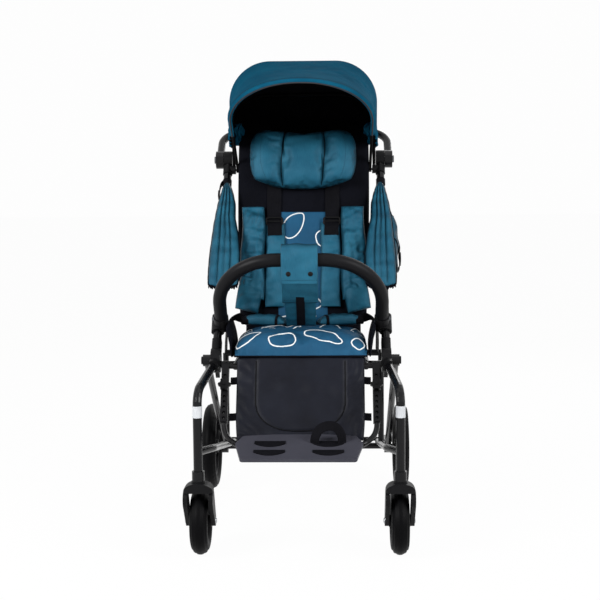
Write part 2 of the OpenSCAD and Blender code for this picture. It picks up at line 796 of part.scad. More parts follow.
module caster_fork(name) {
    crown_z = caster_d + 5;
    color("#1a1a1c") side(name) translate([swivel_x, -swivel_y, 0]) {
        translate([0, 0, crown_z]) cylinder(h = fork_top - crown_z, r = head_r + 2);
        translate([0, 0, fork_top - 1]) cylinder(h = stem_len, r = stem_r);
        // The crown: a dome across the wheel, with its plan rounded at the corners
        intersection() {
            rotate([90, 0, 0]) translate([0, 0, -24]) linear_extrude(44)
                polygon([for (a = [0:10:180])
                    [fork_out * cos(a), crown_z - 4 + (fork_top - crown_z + 1) * pow(sin(a), 0.8)]]);
            translate([0, 2, crown_z - 10]) linear_extrude(60)
                offset(r = 12) square([2 * fork_out - 24, 20], center = true);
        }
        both() side_link([0, crown_z - 22], [caster_trail, caster_axle_z], 22, 13, fork_gap, fork_t);
        translate([0, caster_trail, caster_axle_z]) rotate([0, 90, 0])
            cylinder(h = 2 * fork_gap + 2, r = caster_bore, center = true);
    }
}

module caster_tyre(name) {
    color("#19191a") side(name) translate(caster_axle) tyre(caster_d, caster_w);
}

module caster_rim(name) {
    color("#242426") side(name) translate(caster_axle)
        rim(caster_d, caster_w, 15, 2 * fork_gap - 2 * face_gap, caster_bore + run_gap, 5);
}

// Backrest: a bent tube on two pins, with its pad, side pads, harness and headrest
module backrest_frame() {
    top = back_start + back_h - 20;
    color("#1c1c1e") on_backrest() difference() {
        union() {
            bent_tube(u_path(back_tube_x, 8, top), 60, back_tube_r, tube_wall);
            both() disc([0, 0, 0], 12, back_tube_x - back_tube_r, 2 * back_tube_r);
        }
        both() disc([0, 0, 0], pin_r + run_gap, back_tube_x - 20, 40);
    }
}

module backrest_pad() {
    color("#131417") on_backrest() translate([0, back_start + back_h / 2, back_base])
        pad(back_w, back_h, back_pad_t, 16, 16, 0.01, [], 0, 0, 0.12);
}

pad_base = back_base + back_pad_t + soft_gap;

module side_pads() {
    color("#22586c") on_backrest() both() translate([back_w / 2 - 37, 232, pad_base - 1.4])
        pad(66, 300, 34, 8, 12, 0.03);
}

module shoulder_straps() {
    color("#22586c") on_backrest() both() translate([back_w / 2 - 99, 0, pad_base]) {
        translate([0, 204, 0]) pad(54, 240, 14, 8, 10, 0.02);
        translate([-19, 300, 0]) cube([38, 150, 2.5]);
    }
}

module headrest() {
    head_w = 292;
    head_h = 164;
    head_at = 508;
    color("#22586c") on_backrest() translate([0, head_at, pad_base]) {
        translate([0, 0, 4]) pad(head_w, head_h, 52, 18, 14, 0.05, [-0.36, 0.36], 0.3, 20, 0.5);
        translate([-34, -40, -0.35]) cube([68, 60, 8.35]);
    }
}

// Leg rest: perforated hangers on the seat's front pin, the calf panel, and the clamp knobs
hanger_x = hanger_span / 2;
hanger_hole_r = 4;
hanger_holes = [28, 84, 98, 112, 126, 140];

module leg_hangers() {
    color("#2a2a2c") on_legrest() both() difference() {
        union() {
            translate([hanger_x - hanger_w / 2, -hanger_len, -hanger_d / 2])
                cube([hanger_w, hanger_len, hanger_d]);
            disc([0, 0, 0], hanger_d / 2, hanger_x - hanger_w / 2, hanger_w);
        }
        disc([0, 0, 0], pin_r + run_gap, hanger_x - hanger_w, 2 * hanger_w);
        translate([hanger_x, -20, 0]) rotate([90, 0, 0]) cylinder(h = hanger_len, r = foot_leg_r + run_gap);
        for (s = hanger_holes) translate([hanger_x, -s, 0]) cylinder(h = hanger_d, r = hanger_hole_r);
        translate([hanger_x, -knob_s, 0]) cylinder(h = hanger_d, r = 3 + run_gap);
    }
}

module star_knob(name) {
    lobes = 6;
    color("#1a1a1b") side(name) on_legrest() translate([hanger_x, -knob_s, 0]) {
        translate([0, 0, foot_leg_r + 0.6]) cylinder(h = hanger_d, r = 3);
        translate([0, 0, hanger_d / 2 + face_gap]) cylinder(h = 4, r = 8);
        translate([0, 0, hanger_d / 2 + face_gap + 3]) linear_extrude(12) {
            circle(r = knob_r - 4);
            for (a = [0:360 / lobes:359]) rotate(a) translate([knob_r - 4, 0]) circle(r = 4);
        }
    }
}

module calf_panel() {
    panel_w = hanger_span - 58;
    panel_h = 186;
    panel_t = 22;
    panel_back = 14;
    web = 14;
    color("#202127") on_legrest() {
        translate([0, -10 - panel_h / 2, -panel_back])
            pad(panel_w, panel_h, panel_t, 16, 14, 0.01, [], 0, 0, 0.1);
        both() for (s = [30, 126]) translate([panel_w / 2 - web, -s - web, 4.5 - panel_back])
            cube([hanger_x - hanger_w / 2 - face_gap - panel_w / 2 + web, web, 3]);
    }
}

// Footrest: a bent tube that slides in the hangers, and a plate that flips up on it
foot_cross = [0, -foot_cross_s, foot_cross_n];

module foot_tube() {
    side_line = [[hanger_x, -24, 0], [hanger_x, -foot_bend_s, 0],
        [foot_cross_x, -foot_cross_s, foot_cross_n]];
    far_line = [for (p = [side_line[2], side_line[1], side_line[0]]) [-p[0], p[1], p[2]]];
    color("#1c1c1e") on_legrest() swept_tube(concat(side_line, far_line), foot_bend_r, foot_leg_r, [0, 0, 1]);
}

// The outline of a convex polygon with round corners
function rounded(poly, r) = [for (i = [0:len(poly) - 1])
    let (p = poly[i], count = len(poly), a = unit(poly[(i + count - 1) % count] - p),
        b = unit(poly[(i + 1) % count] - p),
        half = acos(a * b) / 2, c = p + unit(a + b) * r / sin(half), s = p + a * r / tan(half) - c,
        e = p + b * r / tan(half) - c)
    for (k = [0:0.25:1]) c + r * unit(s * (1 - k) + e * k)];

module foot_slot(w, h) {
    intersection() {
        translate([0, w - h / 2]) circle(r = w, $fn = 96);
        translate([-w / 2, -h / 2]) square([w, h]);
    }
}

module footplate() {
    clip_x = 90;
    clip_w = 22;
    slot_x = 70;
    front = plate_depth - plate_back;
    // The rear corners are cut back, clear of the tube's bends when the plate is flipped up
    half = [[plate_w / 2 - 17, -front], [plate_w / 2, plate_back - 48], [plate_w / 2 - 16, plate_back - 8],
        [60, plate_back]];
    outline = concat(half, [for (i = [len(half) - 1:-1:0]) [-half[i][0], half[i][1]]]);
    plate_turn = plate_tilt - 90 + leg_angle;
    color("#3b3c42") on_legrest() translate(foot_cross) rotate([plate_turn, 0, 0]) difference() {
        union() {
            translate([0, 0, plate_lift]) linear_extrude(plate_t) difference() {
                polygon(rounded(outline, 8));
                both() translate([slot_x, -28]) foot_slot(74, 20);
                both() translate([slot_x, -74]) foot_slot(74, 18);
            }
            both() translate([clip_x, 0, 0]) {
                disc([0, 0, 0], foot_leg_r + 5, -clip_w / 2, clip_w);
                translate([-clip_w / 2, -foot_leg_r - 3, 0])
                    cube([clip_w, 2 * foot_leg_r + 6, plate_lift + 1]);
            }
        }
        disc([0, 0, 0], foot_leg_r + run_gap, -clip_x - clip_w, 2 * clip_x + 2 * clip_w);
    }
}

front_leg("left");  // front_leg_left
front_leg("right");  // front_leg_right
lower_rails();
uprights();
joint_blocks();
seat_frame();
seat_board();
seat_cushion();
hip_belts();
reflective_bands();
bumper_sockets();
side_wing("left");  // side_wing_left
side_wing("right");  // side_wing_right
handle_hubs();
canopy_clamps();
canopy_rear_bow();
canopy_middle_bow();
canopy_rear_cover();
side_bag();
fold_lever("left");  // fold_lever_left
fold_lever("right");  // fold_lever_right
rear_leg("left");  // rear_leg_left
rear_leg("right");  // rear_leg_right
rear_axle_tube();
brake_bar();
rear_tyre("left");  // rear_tyre_left
rear_tyre("right");  // rear_tyre_right
rear_rim("left");  // rear_rim_left
rear_rim("right");  // rear_rim_right
caster_fork("left");  // caster_fork_left
caster_fork("right");  // caster_fork_right
caster_tyre("left");  // caster_tyre_left
caster_tyre("right");  // caster_tyre_right
caster_rim("left");  // caster_rim_left
caster_rim("right");  // caster_rim_right
push_bar();
push_grip();
handle_button("left");  // handle_button_left
handle_button("right");  // handle_button_right
backrest_frame();
backrest_pad();
side_pads();
shoulder_straps();
headrest();
leg_hangers();
calf_panel();
star_knob("left");  // star_knob_left
star_knob("right");  // star_knob_right
foot_tube();
footplate();
bumper_tube();
bumper_foam();
bumper_button("left");  // bumper_button_left
bumper_button("right");  // bumper_button_right
crotch_strap();
canopy_front_bow();
canopy_front_cover();
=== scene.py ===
"""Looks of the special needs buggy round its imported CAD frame: cloth, pads, straps, tyres and finishes."""

import math

import bpy
import numpy as np
from mathutils import Matrix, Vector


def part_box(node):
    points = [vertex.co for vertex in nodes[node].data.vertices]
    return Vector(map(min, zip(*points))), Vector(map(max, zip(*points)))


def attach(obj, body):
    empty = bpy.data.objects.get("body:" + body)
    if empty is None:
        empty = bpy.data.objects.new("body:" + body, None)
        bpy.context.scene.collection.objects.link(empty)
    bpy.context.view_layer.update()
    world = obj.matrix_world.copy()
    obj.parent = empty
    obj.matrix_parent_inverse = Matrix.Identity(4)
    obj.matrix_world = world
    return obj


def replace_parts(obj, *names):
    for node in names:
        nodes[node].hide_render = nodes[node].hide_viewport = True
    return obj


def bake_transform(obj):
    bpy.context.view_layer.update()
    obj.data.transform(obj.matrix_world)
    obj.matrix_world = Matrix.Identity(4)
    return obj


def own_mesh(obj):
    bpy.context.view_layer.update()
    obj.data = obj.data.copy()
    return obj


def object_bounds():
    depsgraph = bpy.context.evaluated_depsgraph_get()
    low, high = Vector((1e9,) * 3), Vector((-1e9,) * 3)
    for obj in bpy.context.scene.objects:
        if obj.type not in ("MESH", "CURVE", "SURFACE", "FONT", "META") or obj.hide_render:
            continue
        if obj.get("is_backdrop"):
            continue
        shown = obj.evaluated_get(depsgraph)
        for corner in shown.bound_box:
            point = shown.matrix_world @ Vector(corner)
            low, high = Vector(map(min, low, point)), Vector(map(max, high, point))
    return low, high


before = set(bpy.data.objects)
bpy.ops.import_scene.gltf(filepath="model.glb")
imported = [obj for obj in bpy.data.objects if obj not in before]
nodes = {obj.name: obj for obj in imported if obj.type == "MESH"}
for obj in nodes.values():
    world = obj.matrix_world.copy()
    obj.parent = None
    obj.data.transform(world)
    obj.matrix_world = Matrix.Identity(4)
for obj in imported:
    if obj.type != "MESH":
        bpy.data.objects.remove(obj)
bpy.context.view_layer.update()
sides = (("left", -1), ("right", 1))
rightward = np.array([1.0, 0.0, 0.0])


def unit(vectors):
    """Vectors scaled to a length of 1."""
    vectors = np.asarray(vectors, float)
    return vectors / np.maximum(np.linalg.norm(vectors, axis=-1, keepdims=True), 1e-12)


def placed(place, axes):
    """The world matrix of an object at a place, turned to three axes."""
    turn = np.eye(4)
    turn[:3, :3] = np.stack(axes, axis=1)
    turn[:3, 3] = place
    return Matrix(turn.tolist())


def linked(name, data):
    """A new object of the scene."""
    made = bpy.data.objects.new(name, data)
    bpy.context.scene.collection.objects.link(made)
    return made


# The camera stands about three metres in front of the buggy, 0.9 m up and a little to the right of the
# middle, and looks slightly down.
camera_place = np.array([0.089, -3.181, 0.902])
camera_yaw, camera_pitch, camera_roll = np.radians([-1.712, 5.602, -0.418])
sensor_mm, focal_px, picture_px = 36.0, 1197.0, 600.0
sight = np.array([math.sin(camera_yaw) * math.cos(camera_pitch),
                  math.cos(camera_yaw) * math.cos(camera_pitch), -math.sin(camera_pitch)])
level = np.array([math.cos(camera_yaw), -math.sin(camera_yaw), 0.0])
picture_x = math.cos(camera_roll) * level + math.sin(camera_roll) * np.cross(level, sight)
camera_data = bpy.data.cameras.new("camera")
camera_data.sensor_width = sensor_mm
camera_data.lens = sensor_mm * focal_px / picture_px
camera = linked("camera", camera_data)
camera.matrix_world = placed(camera_place, [picture_x, np.cross(picture_x, sight), -sight])
bpy.context.scene.camera = camera


# A studio floor of white board, under soft boxes and a plain white room. The camera sees board and
# room as white, and the board keeps a trace of the shadows.
def linear(code):
    """An sRGB hex colour as linear RGB with full alpha, by the sRGB curve."""
    srgb = np.array([int(code[i:i + 2], 16) for i in (1, 3, 5)]) / 255.0
    rgb = np.where(srgb <= 0.04045, srgb / 12.92, ((srgb + 0.055) / 1.055) ** 2.4)
    return (*rgb.tolist(), 1.0)


def add(tree, kind, inputs=None, **settings):
    """Adds a node, sets its properties, and fills its inputs with values or links."""
    made = tree.nodes.new(kind)
    for key, value in settings.items():
        setattr(made, key, value)
    for key, value in (inputs or {}).items():
        if isinstance(value, bpy.types.NodeSocket):
            tree.links.new(value, made.inputs[key])
        else:
            made.inputs[key].default_value = value
    return made


def maths(tree, operation, first, second=0.0):
    """The output of a node that works out one operation on two values or links."""
    return add(tree, "ShaderNodeMath", {0: first, 1: second}, operation=operation).outputs[0]


def noise(tree, vector, scale, detail):
    """The grey output of a noise texture."""
    settings = {"Vector": vector, "Scale": scale, "Detail": detail}
    return add(tree, "ShaderNodeTexNoise", settings).outputs["Fac"]


def two_tones(tree, weight, dark, colour):
    """The output of a mix of two hex colours."""
    mix = {0: weight, 6: linear(dark), 7: linear(colour)}
    return add(tree, "ShaderNodeMix", mix, data_type="RGBA").outputs[2]


def new_material(name):
    """An empty node material, with its tree and the input for its surface."""
    material = bpy.data.materials.new(name)
    material.use_nodes = True
    material.node_tree.nodes.clear()
    output = material.node_tree.nodes.new("ShaderNodeOutputMaterial")
    return material, material.node_tree, output.inputs["Surface"]


def looks(tree):
    """Gives 1 for the rays of the eye, of gloss and of glass, and 0 for the light on a surface."""
    ray = add(tree, "ShaderNodeLightPath").outputs
    direct = maths(tree, "MAXIMUM", ray["Is Camera Ray"], ray["Is Glossy Ray"])
    return maths(tree, "MAXIMUM", direct, ray["Is Transmission Ray"])


def corners(grid):
    """The four corners of each cell of a grid, in turn, as rows of quads."""
    return np.stack([grid[:-1, :-1], grid[:-1, 1:], grid[1:, 1:], grid[1:, :-1]], axis=2)


def metres(points):
    """How far each column and row of a grid lies from the first, in metres, as a grid of UV pairs."""
    across = np.linalg.norm(np.diff(points, axis=1), axis=2).mean(axis=0)
    along = np.linalg.norm(np.diff(points, axis=0), axis=2).mean(axis=1)
    u, v = (np.concatenate([[0.0], np.cumsum(steps)]) for steps in (across, along))
    return np.stack(np.meshgrid(u, v), axis=-1)


def skin(name, vertices, faces, uv, material):
    """A smooth-shaded mesh object from vertices, faces and one UV pair for each face corner."""
    mesh = bpy.data.meshes.new(name)
    mesh.from_pydata(np.asarray(vertices).tolist(), [], faces)
    layer = mesh.uv_layers.new(name="cloth")
    layer.data.foreach_set("uv", np.asarray(uv, np.float32).ravel())
    mesh.polygons.foreach_set("use_smooth", np.ones(len(mesh.polygons), bool))
    mesh.set_sharp_from_angle(angle=math.radians(50))
    mesh.materials.append(material)
    return linked(name, mesh)


def surface(name, grids, material, ring=False, loop=False, caps=False):
    """One grid of points, or several, as quads. Rows run along v and columns along u; ring joins the last
    column to the first, loop the last row to the first, and caps close the first and last rows."""
    places, faces, pairs, count = [], [], [], 0
    for points in grids if isinstance(grids, list) else [grids]:
        points = np.asarray(points, float)
        rows, cols = points.shape[:2]
        index = np.arange(rows * cols).reshape(rows, cols)
        index = np.concatenate([index, index[:, :1]], axis=1) if ring else index
        index = np.concatenate([index, index[:1]], axis=0) if loop else index
        faces += (count + corners(index).reshape(-1, 4)).tolist()
        pairs.append(corners(metres(points.reshape(-1, 3)[index])).reshape(-1, 2))
        if caps:
            faces += [(count + index[0, :cols][::-1]).tolist(), (count + index[-1, :cols]).tolist()]
            pairs.append(np.zeros((2 * cols, 2)))
        places.append(points.reshape(-1, 3))
        count += rows * cols
    return skin(name, np.concatenate(places), faces, np.concatenate(pairs), material)


floor_white, room_white, room_light = 0.97, 0.985, 0.24
white = (1.0, 1.0, 1.0, 1.0)
board, board_tree, board_surface = new_material("white_studio_board")
matt = add(board_tree, "ShaderNodeBsdfDiffuse", {"Color": linear("#f4f4f4")})
lit = add(board_tree, "ShaderNodeEmission", {"Color": white, "Strength": 1.0})
lit_share = maths(board_tree, "MULTIPLY", looks(board_tree), floor_white)
mixed = add(board_tree, "ShaderNodeMixShader", {0: lit_share, 1: matt.outputs[0], 2: lit.outputs[0]})
board_tree.links.new(mixed.outputs[0], board_surface)
floor_half, floor_z = 30.0, -0.0006
floor_steps = np.linspace(-floor_half, floor_half, 9)
floor_x, floor_y = np.meshgrid(floor_steps, floor_steps)
floor_grid = np.stack([floor_x, floor_y, np.full_like(floor_x, floor_z)], axis=-1)
surface("studio_floor", floor_grid, board)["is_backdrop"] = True

room = bpy.data.worlds.new("white_room")
room.use_nodes = True
room.node_tree.nodes.clear()
glow = add(room.node_tree, "ShaderNodeMapRange", {0: looks(room.node_tree), 3: room_light, 4: room_white})
sky = add(room.node_tree, "ShaderNodeBackground", {"Color": white, "Strength": glow.outputs[0]})
add(room.node_tree, "ShaderNodeOutputWorld", {"Surface": sky.outputs[0]})
bpy.context.scene.world = room

lit_point = np.array([0.0, 0.0, 0.6])
soft_boxes = {"key_box": ((-2.2, -2.0, 1.9), 1.2, 80.0), "fill_box": ((2.3, -1.8, 1.7), 1.3, 60.0),
              "top_box": ((0.2, -0.5, 3.3), 2.0, 9.0), "back_box": ((0.6, 2.6, 2.0), 1.6, 20.0)}
for name, (place, size, power) in soft_boxes.items():
    lamp_data = bpy.data.lights.new(name, "AREA")
    lamp_data.size = size
    lamp_data.energy = power
    away = unit(place - lit_point)
    beside = unit(np.cross([0.0, 0.0, 1.0], away))
    linked(name, lamp_data).matrix_world = placed(place, [beside, np.cross(away, beside), away])
bpy.context.scene.view_settings.view_transform = "Standard"


# The frame is bent steel tube, welded and pinned, then powder coated in gloss black: a hard smooth skin
# with a faint orange peel and small changes of gloss along the tubes.
def finish(name, colour, dark, rough, spread, grain_mm, bump, metallic=0.0, shine=0.1):
    """A hard finish: two tones mixed by a cloudy noise, roughness that wanders by spread, and a fine
    grain of the given size in millimetres as bump."""
    material, tree, target = new_material(name)
    where = add(tree, "ShaderNodeTexCoord").outputs["Object"]
    cloud = noise(tree, where, 9.0, 4.0)
    tone = two_tones(tree, cloud, dark, colour)
    gloss = add(tree, "ShaderNodeMapRange", {0: cloud, 1: 0.3, 2: 0.7, 3: rough - spread, 4: rough + spread})
    grain = noise(tree, where, 1000.0 / grain_mm, 2.0)
    relief = add(tree, "ShaderNodeBump", {"Height": grain, "Strength": bump, "Distance": grain_mm * 0.00025})
    shader = add(tree, "ShaderNodeBsdfPrincipled", {
        "Base Color": tone, "Roughness": gloss.outputs[0], "Normal": relief.outputs[0], "Metallic": metallic,
        "IOR": 1.5, "Specular IOR Level": shine})
    tree.links.new(shader.outputs[0], target)
    return material


def paint(material, *names):
    """Gives CAD nodes a material in place of their packed one."""
    for name in names:
        mesh = nodes[name].data
        mesh.materials.clear()
        mesh.materials.append(material)


def both(*names):
    """The names of nodes that come as a left and a right one."""
    return [f"{name}_{side}" for name in names for side, _ in sides]


powder_coat = finish("gloss_black_powder_coat", "#0f0f11", "#08080a", 0.22, 0.05, 2.5, 0.12, shine=0.22)
paint(powder_coat, *both("front_leg", "rear_leg"), "lower_rails", "uprights", "seat_frame", "rear_axle_tube",
      "push_bar", "backrest_frame", "foot_tube", "bumper_tube")
hoop_coat = finish("matt_black_hoop_coat", "#0a0a0b", "#060607", 0.8, 0.05, 1.5, 0.3, shine=0.05)
paint(hoop_coat, "canopy_rear_bow", "canopy_middle_bow", "canopy_front_bow")


# Joint blocks, hubs, clamps, hangers, levers, forks and rims are moulded nylon: near black, with the fine
# spark grain of the mould and a satin sheen. The footplate and the push buttons are of grey nylon, and the
# sleeves of bumper and push bar of closed-cell foam.
nylon = finish("moulded_black_nylon", "#161618", "#0e0e0f", 0.45, 0.07, 1.1, 0.35)
paint(nylon, "joint_blocks", "bumper_sockets", "handle_hubs", "canopy_clamps", "brake_bar", "leg_hangers",
      "seat_board", *both("caster_fork", "star_knob", "fold_lever", "rear_rim", "caster_rim"))
paint(finish("moulded_grey_nylon", "#474750", "#393941", 0.4, 0.06, 1.4, 0.4), "footplate")
press_button = finish("moulded_mid_grey_nylon", "#6c6e72", "#56585c", 0.45, 0.05, 1.0, 0.3)
paint(press_button, *both("handle_button", "bumper_button"))
closed_foam = finish("black_closed_cell_foam", "#0f0f12", "#09090b", 0.45, 0.06, 1.6, 0.45, shine=0.12)
paint(closed_foam, "bumper_foam", "push_grip")


# Reflective bands: glass-beaded tape round the front legs, silver grey by day.
tape = finish("glass_beaded_tape", "#dcdee1", "#c4c7cb", 0.32, 0.05, 0.9, 0.3, metallic=0.25)
paint(tape, "reflective_bands")


# Tyres: solid polyurethane, black and matt, with ribs run round the tread. The rear ones also have short
# cross cuts. Each is pressed on its rim and stands for the plain ring of the CAD. Steel caps end the axles.
tyre_rubber = finish("matt_black_polyurethane", "#09090b", "#060607", 0.5, 0.06, 1.3, 0.4, shine=0.05)
bolt_steel = finish("zinc_plated_steel", "#b9bbbd", "#97999c", 0.28, 0.06, 1.0, 0.15, metallic=1.0)


def turns(count):
    """Angles spaced evenly round a circle."""
    return np.linspace(0.0, 2 * np.pi, count, endpoint=False)


def bell(far, width):
    """A smooth bump: 1 in its middle, and next to nothing at twice its width."""
    return np.exp(-(far / width) ** 2)


def box_of(node):
    """The lowest and highest corner of a CAD node."""
    return (np.array(corner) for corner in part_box(node))


def tyre_points(centre, diameter, width, cuts):
    """A round section carried round the axle. The section's radius dips by a bell curve at each rib
    groove, and by a square wave round the wheel where it is cut."""
    round_axle = turns(168)[:, None]
    section = np.linspace(np.pi, -np.pi, 40, endpoint=False)[None, :]
    ribs = sum(bell(section - at, 0.07) for at in (-0.95, -0.42, 0.42, 0.95))
    notch = 0.5 + 0.5 * np.tanh(6 * np.sin(cuts * round_axle)) if cuts else 0.0 * round_axle
    shoulder = bell(np.abs(section) - 0.72, 0.2)
    radius = width / 2 * (1.0 - 0.075 * ribs - 0.05 * notch * shoulder)
    reach = diameter / 2 - width / 2 + radius * np.cos(section)
    x = radius * np.sin(section) + 0.0 * round_axle
    return centre + np.stack([x, reach * np.cos(round_axle), reach * np.sin(round_axle)], axis=-1)


def dome(name, centre, axis, material, radius, height):
    """A shallow cap: circles that shrink by a cosine while they rise by a sine along the axis."""
    lift = np.linspace(0.0, 0.49 * np.pi, 7)[:, None, None]
    angle = turns(28)[None, :, None]
    axis = np.asarray(axis, float)
    first = unit(np.cross(axis, [0.3, 0.5, 0.8]))
    spoke = np.cos(angle) * first + np.sin(angle) * np.cross(axis, first)
    points = np.asarray(centre) + radius * np.cos(lift) * spoke + height * np.sin(lift) * axis
    return surface(name, points, material, ring=True, caps=True)


def fit_tyre(kind, side, cuts):
    """Puts a tread in place of a CAD tyre and returns the axle's place."""
    low, high = box_of(f"{kind}_tyre_{side}")
    axle = (low + high) / 2
    points = tyre_points(axle, high[2] - low[2], high[0] - low[0], cuts)
    tyre = surface(f"{kind}_tread_{side}", points, tyre_rubber, ring=True, loop=True)
    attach(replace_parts(tyre, f"{kind}_tyre_{side}"), f"{kind}_wheel_{side}")
    return axle


cap_sink = 0.0002
for side, sign in sides:
    axle = fit_tyre("rear", side, 46)
    low, high = box_of("rear_axle_tube")
    cap_at = ((low[0] if sign < 0 else high[0]) - sign * cap_sink, axle[1], axle[2])
    cap = dome("rear_hub_cap_" + side, cap_at, (sign, 0, 0), bolt_steel, radius=0.0105, height=0.004)
    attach(cap, "rear_frame")
    axle = fit_tyre("caster", side, 0)
    low, high = box_of("caster_fork_" + side)
    for end, x, out in (("inner", low[0], -1), ("outer", high[0], 1)):
        bolt_at = (x - out * cap_sink, axle[1], axle[2])
        bolt_name = f"caster_bolt_{end}_{side}"
        bolt = dome(bolt_name, bolt_at, (out, 0, 0), bolt_steel, radius=0.008, height=0.0035)
        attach(bolt, "caster_" + side)


# The woven cloth of the seat: polyester yarn in a plain weave. Teal for the covers, black for the back, and
# blue for the printed panels. It has a soft sheen, cloudy tone, and lighter heather along the yarn. The
# teal and blue cloths are also painted darker where they turn away from the eye: a painted shade in place of
# satin shading.
def woven(name, colour, dark, thread_mm, rough, sheen, heather=0.35, bump=0.5, shine=0.05, satin=0.0):
    """Cloth: two crossed sine waves of the thread's pitch as bump, a cloudy noise and a noise drawn out
    along the yarn for the tone. The pitch is drawn coarser than real yarn, so that it shows. The last
    argument is a painted shade: the share of the tone taken off where the cloth turns away from the eye."""
    material, tree, target = new_material(name)
    where = add(tree, "ShaderNodeTexCoord").outputs
    split = add(tree, "ShaderNodeSeparateXYZ", {0: where["UV"]}).outputs
    pitch = 2000.0 * math.pi / thread_mm
    warp, weft = (maths(tree, "SINE", maths(tree, "MULTIPLY", split[axis], pitch)) for axis in (0, 1))
    drawn = add(tree, "ShaderNodeMapping", {"Vector": where["UV"], "Scale": (900.0, 60.0, 1.0)}).outputs[0]
    cloud, yarn = noise(tree, where["Object"], 14.0, 5.0), noise(tree, drawn, 1.0, 2.0)
    blend = add(tree, "ShaderNodeMix", {0: heather, 2: cloud, 3: yarn})
    steep = add(tree, "ShaderNodeMapRange", {0: blend.outputs[0], 1: 0.3, 2: 0.7})
    tone = two_tones(tree, steep.outputs[0], dark, colour)
    relief = add(tree, "ShaderNodeBump", {"Height": maths(tree, "MULTIPLY", warp, weft), "Strength": bump,
                                          "Distance": thread_mm * 0.00012})
    # Painted shade: the base colour darkens where the surface turns from the eye, in place of satin shading
    # by the lamps.
    facing = add(tree, "ShaderNodeLayerWeight", {"Blend": 0.5}).outputs["Facing"]
    painted_shade_factor = add(tree, "ShaderNodeMapRange", {0: facing, 1: 0.1, 2: 0.7, 3: 1.0, 4: 1.0 - satin})
    painted_shade_tone = add(tree, "ShaderNodeVectorMath", {0: tone, 3: painted_shade_factor.outputs[0]}, operation="SCALE")
    shader = add(tree, "ShaderNodeBsdfPrincipled", {
        "Base Color": painted_shade_tone.outputs[0], "Roughness": rough, "Normal": relief.outputs[0], "IOR": 1.5,
        "Specular IOR Level": shine, "Sheen Weight": sheen, "Sheen Roughness": 0.35,
        "Sheen Tint": linear(colour)})
    tree.links.new(shader.outputs[0], target)
    return material


teal_cloth = woven("teal_polyester_weave", "#2a6a83", "#174b63", 1.8, 0.4, 0.06, shine=0.12, satin=0.7)
black_cloth = woven("black_polyester_weave", "#12131a", "#090a0f", 1.8, 0.75, 0.01, shine=0.03)
blue_cloth = woven("blue_printed_polyester", "#265a7c", "#1d4866", 1.8, 0.5, 0.05, heather=0.2, shine=0.08,
                   satin=0.3)
webbing = woven("black_nylon_webbing", "#121217", "#09090c", 2.6, 0.55, 0.01, bump=0.9, shine=0.04)
thread = finish("dark_sewing_thread", "#14222a", "#0c161c", 0.6, 0.05, 0.8, 0.2)


def waves(a, b, size, seed, count=18):
    """Wrinkles: plane waves of about one size, in metres, with seeded headings and phases, summed and
    scaled to lie mostly between -1 and 1."""
    draw = np.random.default_rng(seed)
    heading = draw.uniform(0.0, np.pi, count)
    number = 2 * np.pi / (size * draw.uniform(0.7, 1.5, count))
    phase = draw.uniform(0.0, 2 * np.pi, count)
    angle = number * (a[..., None] * np.cos(heading) + b[..., None] * np.sin(heading)) + phase
    return np.sin(angle).sum(axis=-1) / math.sqrt(count)


def square(cols, rows):
    """A grid of u and v that both run from -1 to 1, closer together near the seams."""
    u, v = (np.sin(np.linspace(-1.0, 1.0, n) * np.pi / 2 * 0.92) for n in (cols, rows))
    return np.meshgrid(u / u[-1], v / v[-1])


def share(value, row):
    """How far along a rising row a value lies, from 0 to 1."""
    return np.interp(value, row, np.linspace(0, 1, len(row)))


def fullness(u, v, power):
    """How full a sewn pad is: 0 on its seam and 1 inside, by a steep curve in each direction."""
    return np.sqrt(np.clip((1 - np.abs(u) ** power) * (1 - np.abs(v) ** power), 0.0, 1.0))


def plane(origin, first, second, third):
    """A function that gives the points of a part from distances along three axes, in metres."""
    def point(a, b, c):
        a, b, c = (np.asarray(value, float)[..., None] for value in (a, b, c))
        return origin + a * first + b * second + c * third

    return point


def cushion(name, front, back, material):
    """A sewn cover: a front and a back grid of one shape that share their rim."""
    rows, cols = front.shape[:2]
    index = np.arange(rows * cols).reshape(rows, cols)
    inside = np.zeros((rows, cols), bool)
    inside[1:-1, 1:-1] = True
    behind = index.copy()
    behind[inside] = rows * cols + np.arange(inside.sum())
    faces = np.concatenate([corners(index).reshape(-1, 4), corners(behind).reshape(-1, 4)[:, ::-1]])
    flat = corners(metres(front))
    uv = np.concatenate([flat.reshape(-1, 2), flat.reshape(-1, 4, 2)[:, ::-1].reshape(-1, 2)])
    return skin(name, np.concatenate([front.reshape(-1, 3), back[inside]]), faces.tolist(), uv, material)


def pad(name, place, a, b, seam, front, back, material):
    """A cushion laid out by a and b on a plane. Its seam lies at a height over the plane, and its front and
    back swell from there by their depths. Returns the piece and its front."""
    face = place(a, b, seam + front)
    return cushion(name, face, place(a, b, seam - back), material), face


def rim_of(grid):
    """The closed line round a grid's edge."""
    return np.concatenate([grid[0, :-1], grid[:-1, -1], grid[-1, :0:-1], grid[:0:-1, 0]])


def carry(path, across, up, shape):
    """A profile carried along a path. Each row is the path's point plus the shape's two coordinates along
    the crosswise and upward directions there."""
    path, across, up = (np.asarray(value, float)[:, None, :] for value in (path, across, up))
    return path + shape[None, :, :1] * across + shape[None, :, 1:] * up


def frames(path, hint, closed=False):
    """Crosswise and upward unit vectors along a path, from its tangent and a hint of what is up."""
    path = np.asarray(path, float)
    if closed:
        tangent = np.roll(path, -1, axis=0) - np.roll(path, 1, axis=0)
    else:
        tangent = np.gradient(path, axis=0)
    tangent = unit(tangent)
    across = unit(np.cross(np.broadcast_to(hint, path.shape), tangent))
    return across, np.cross(tangent, across)


def circle(radius, count):
    """A round profile."""
    angle = turns(count)
    return radius * np.stack([np.cos(angle), np.sin(angle)], axis=1)


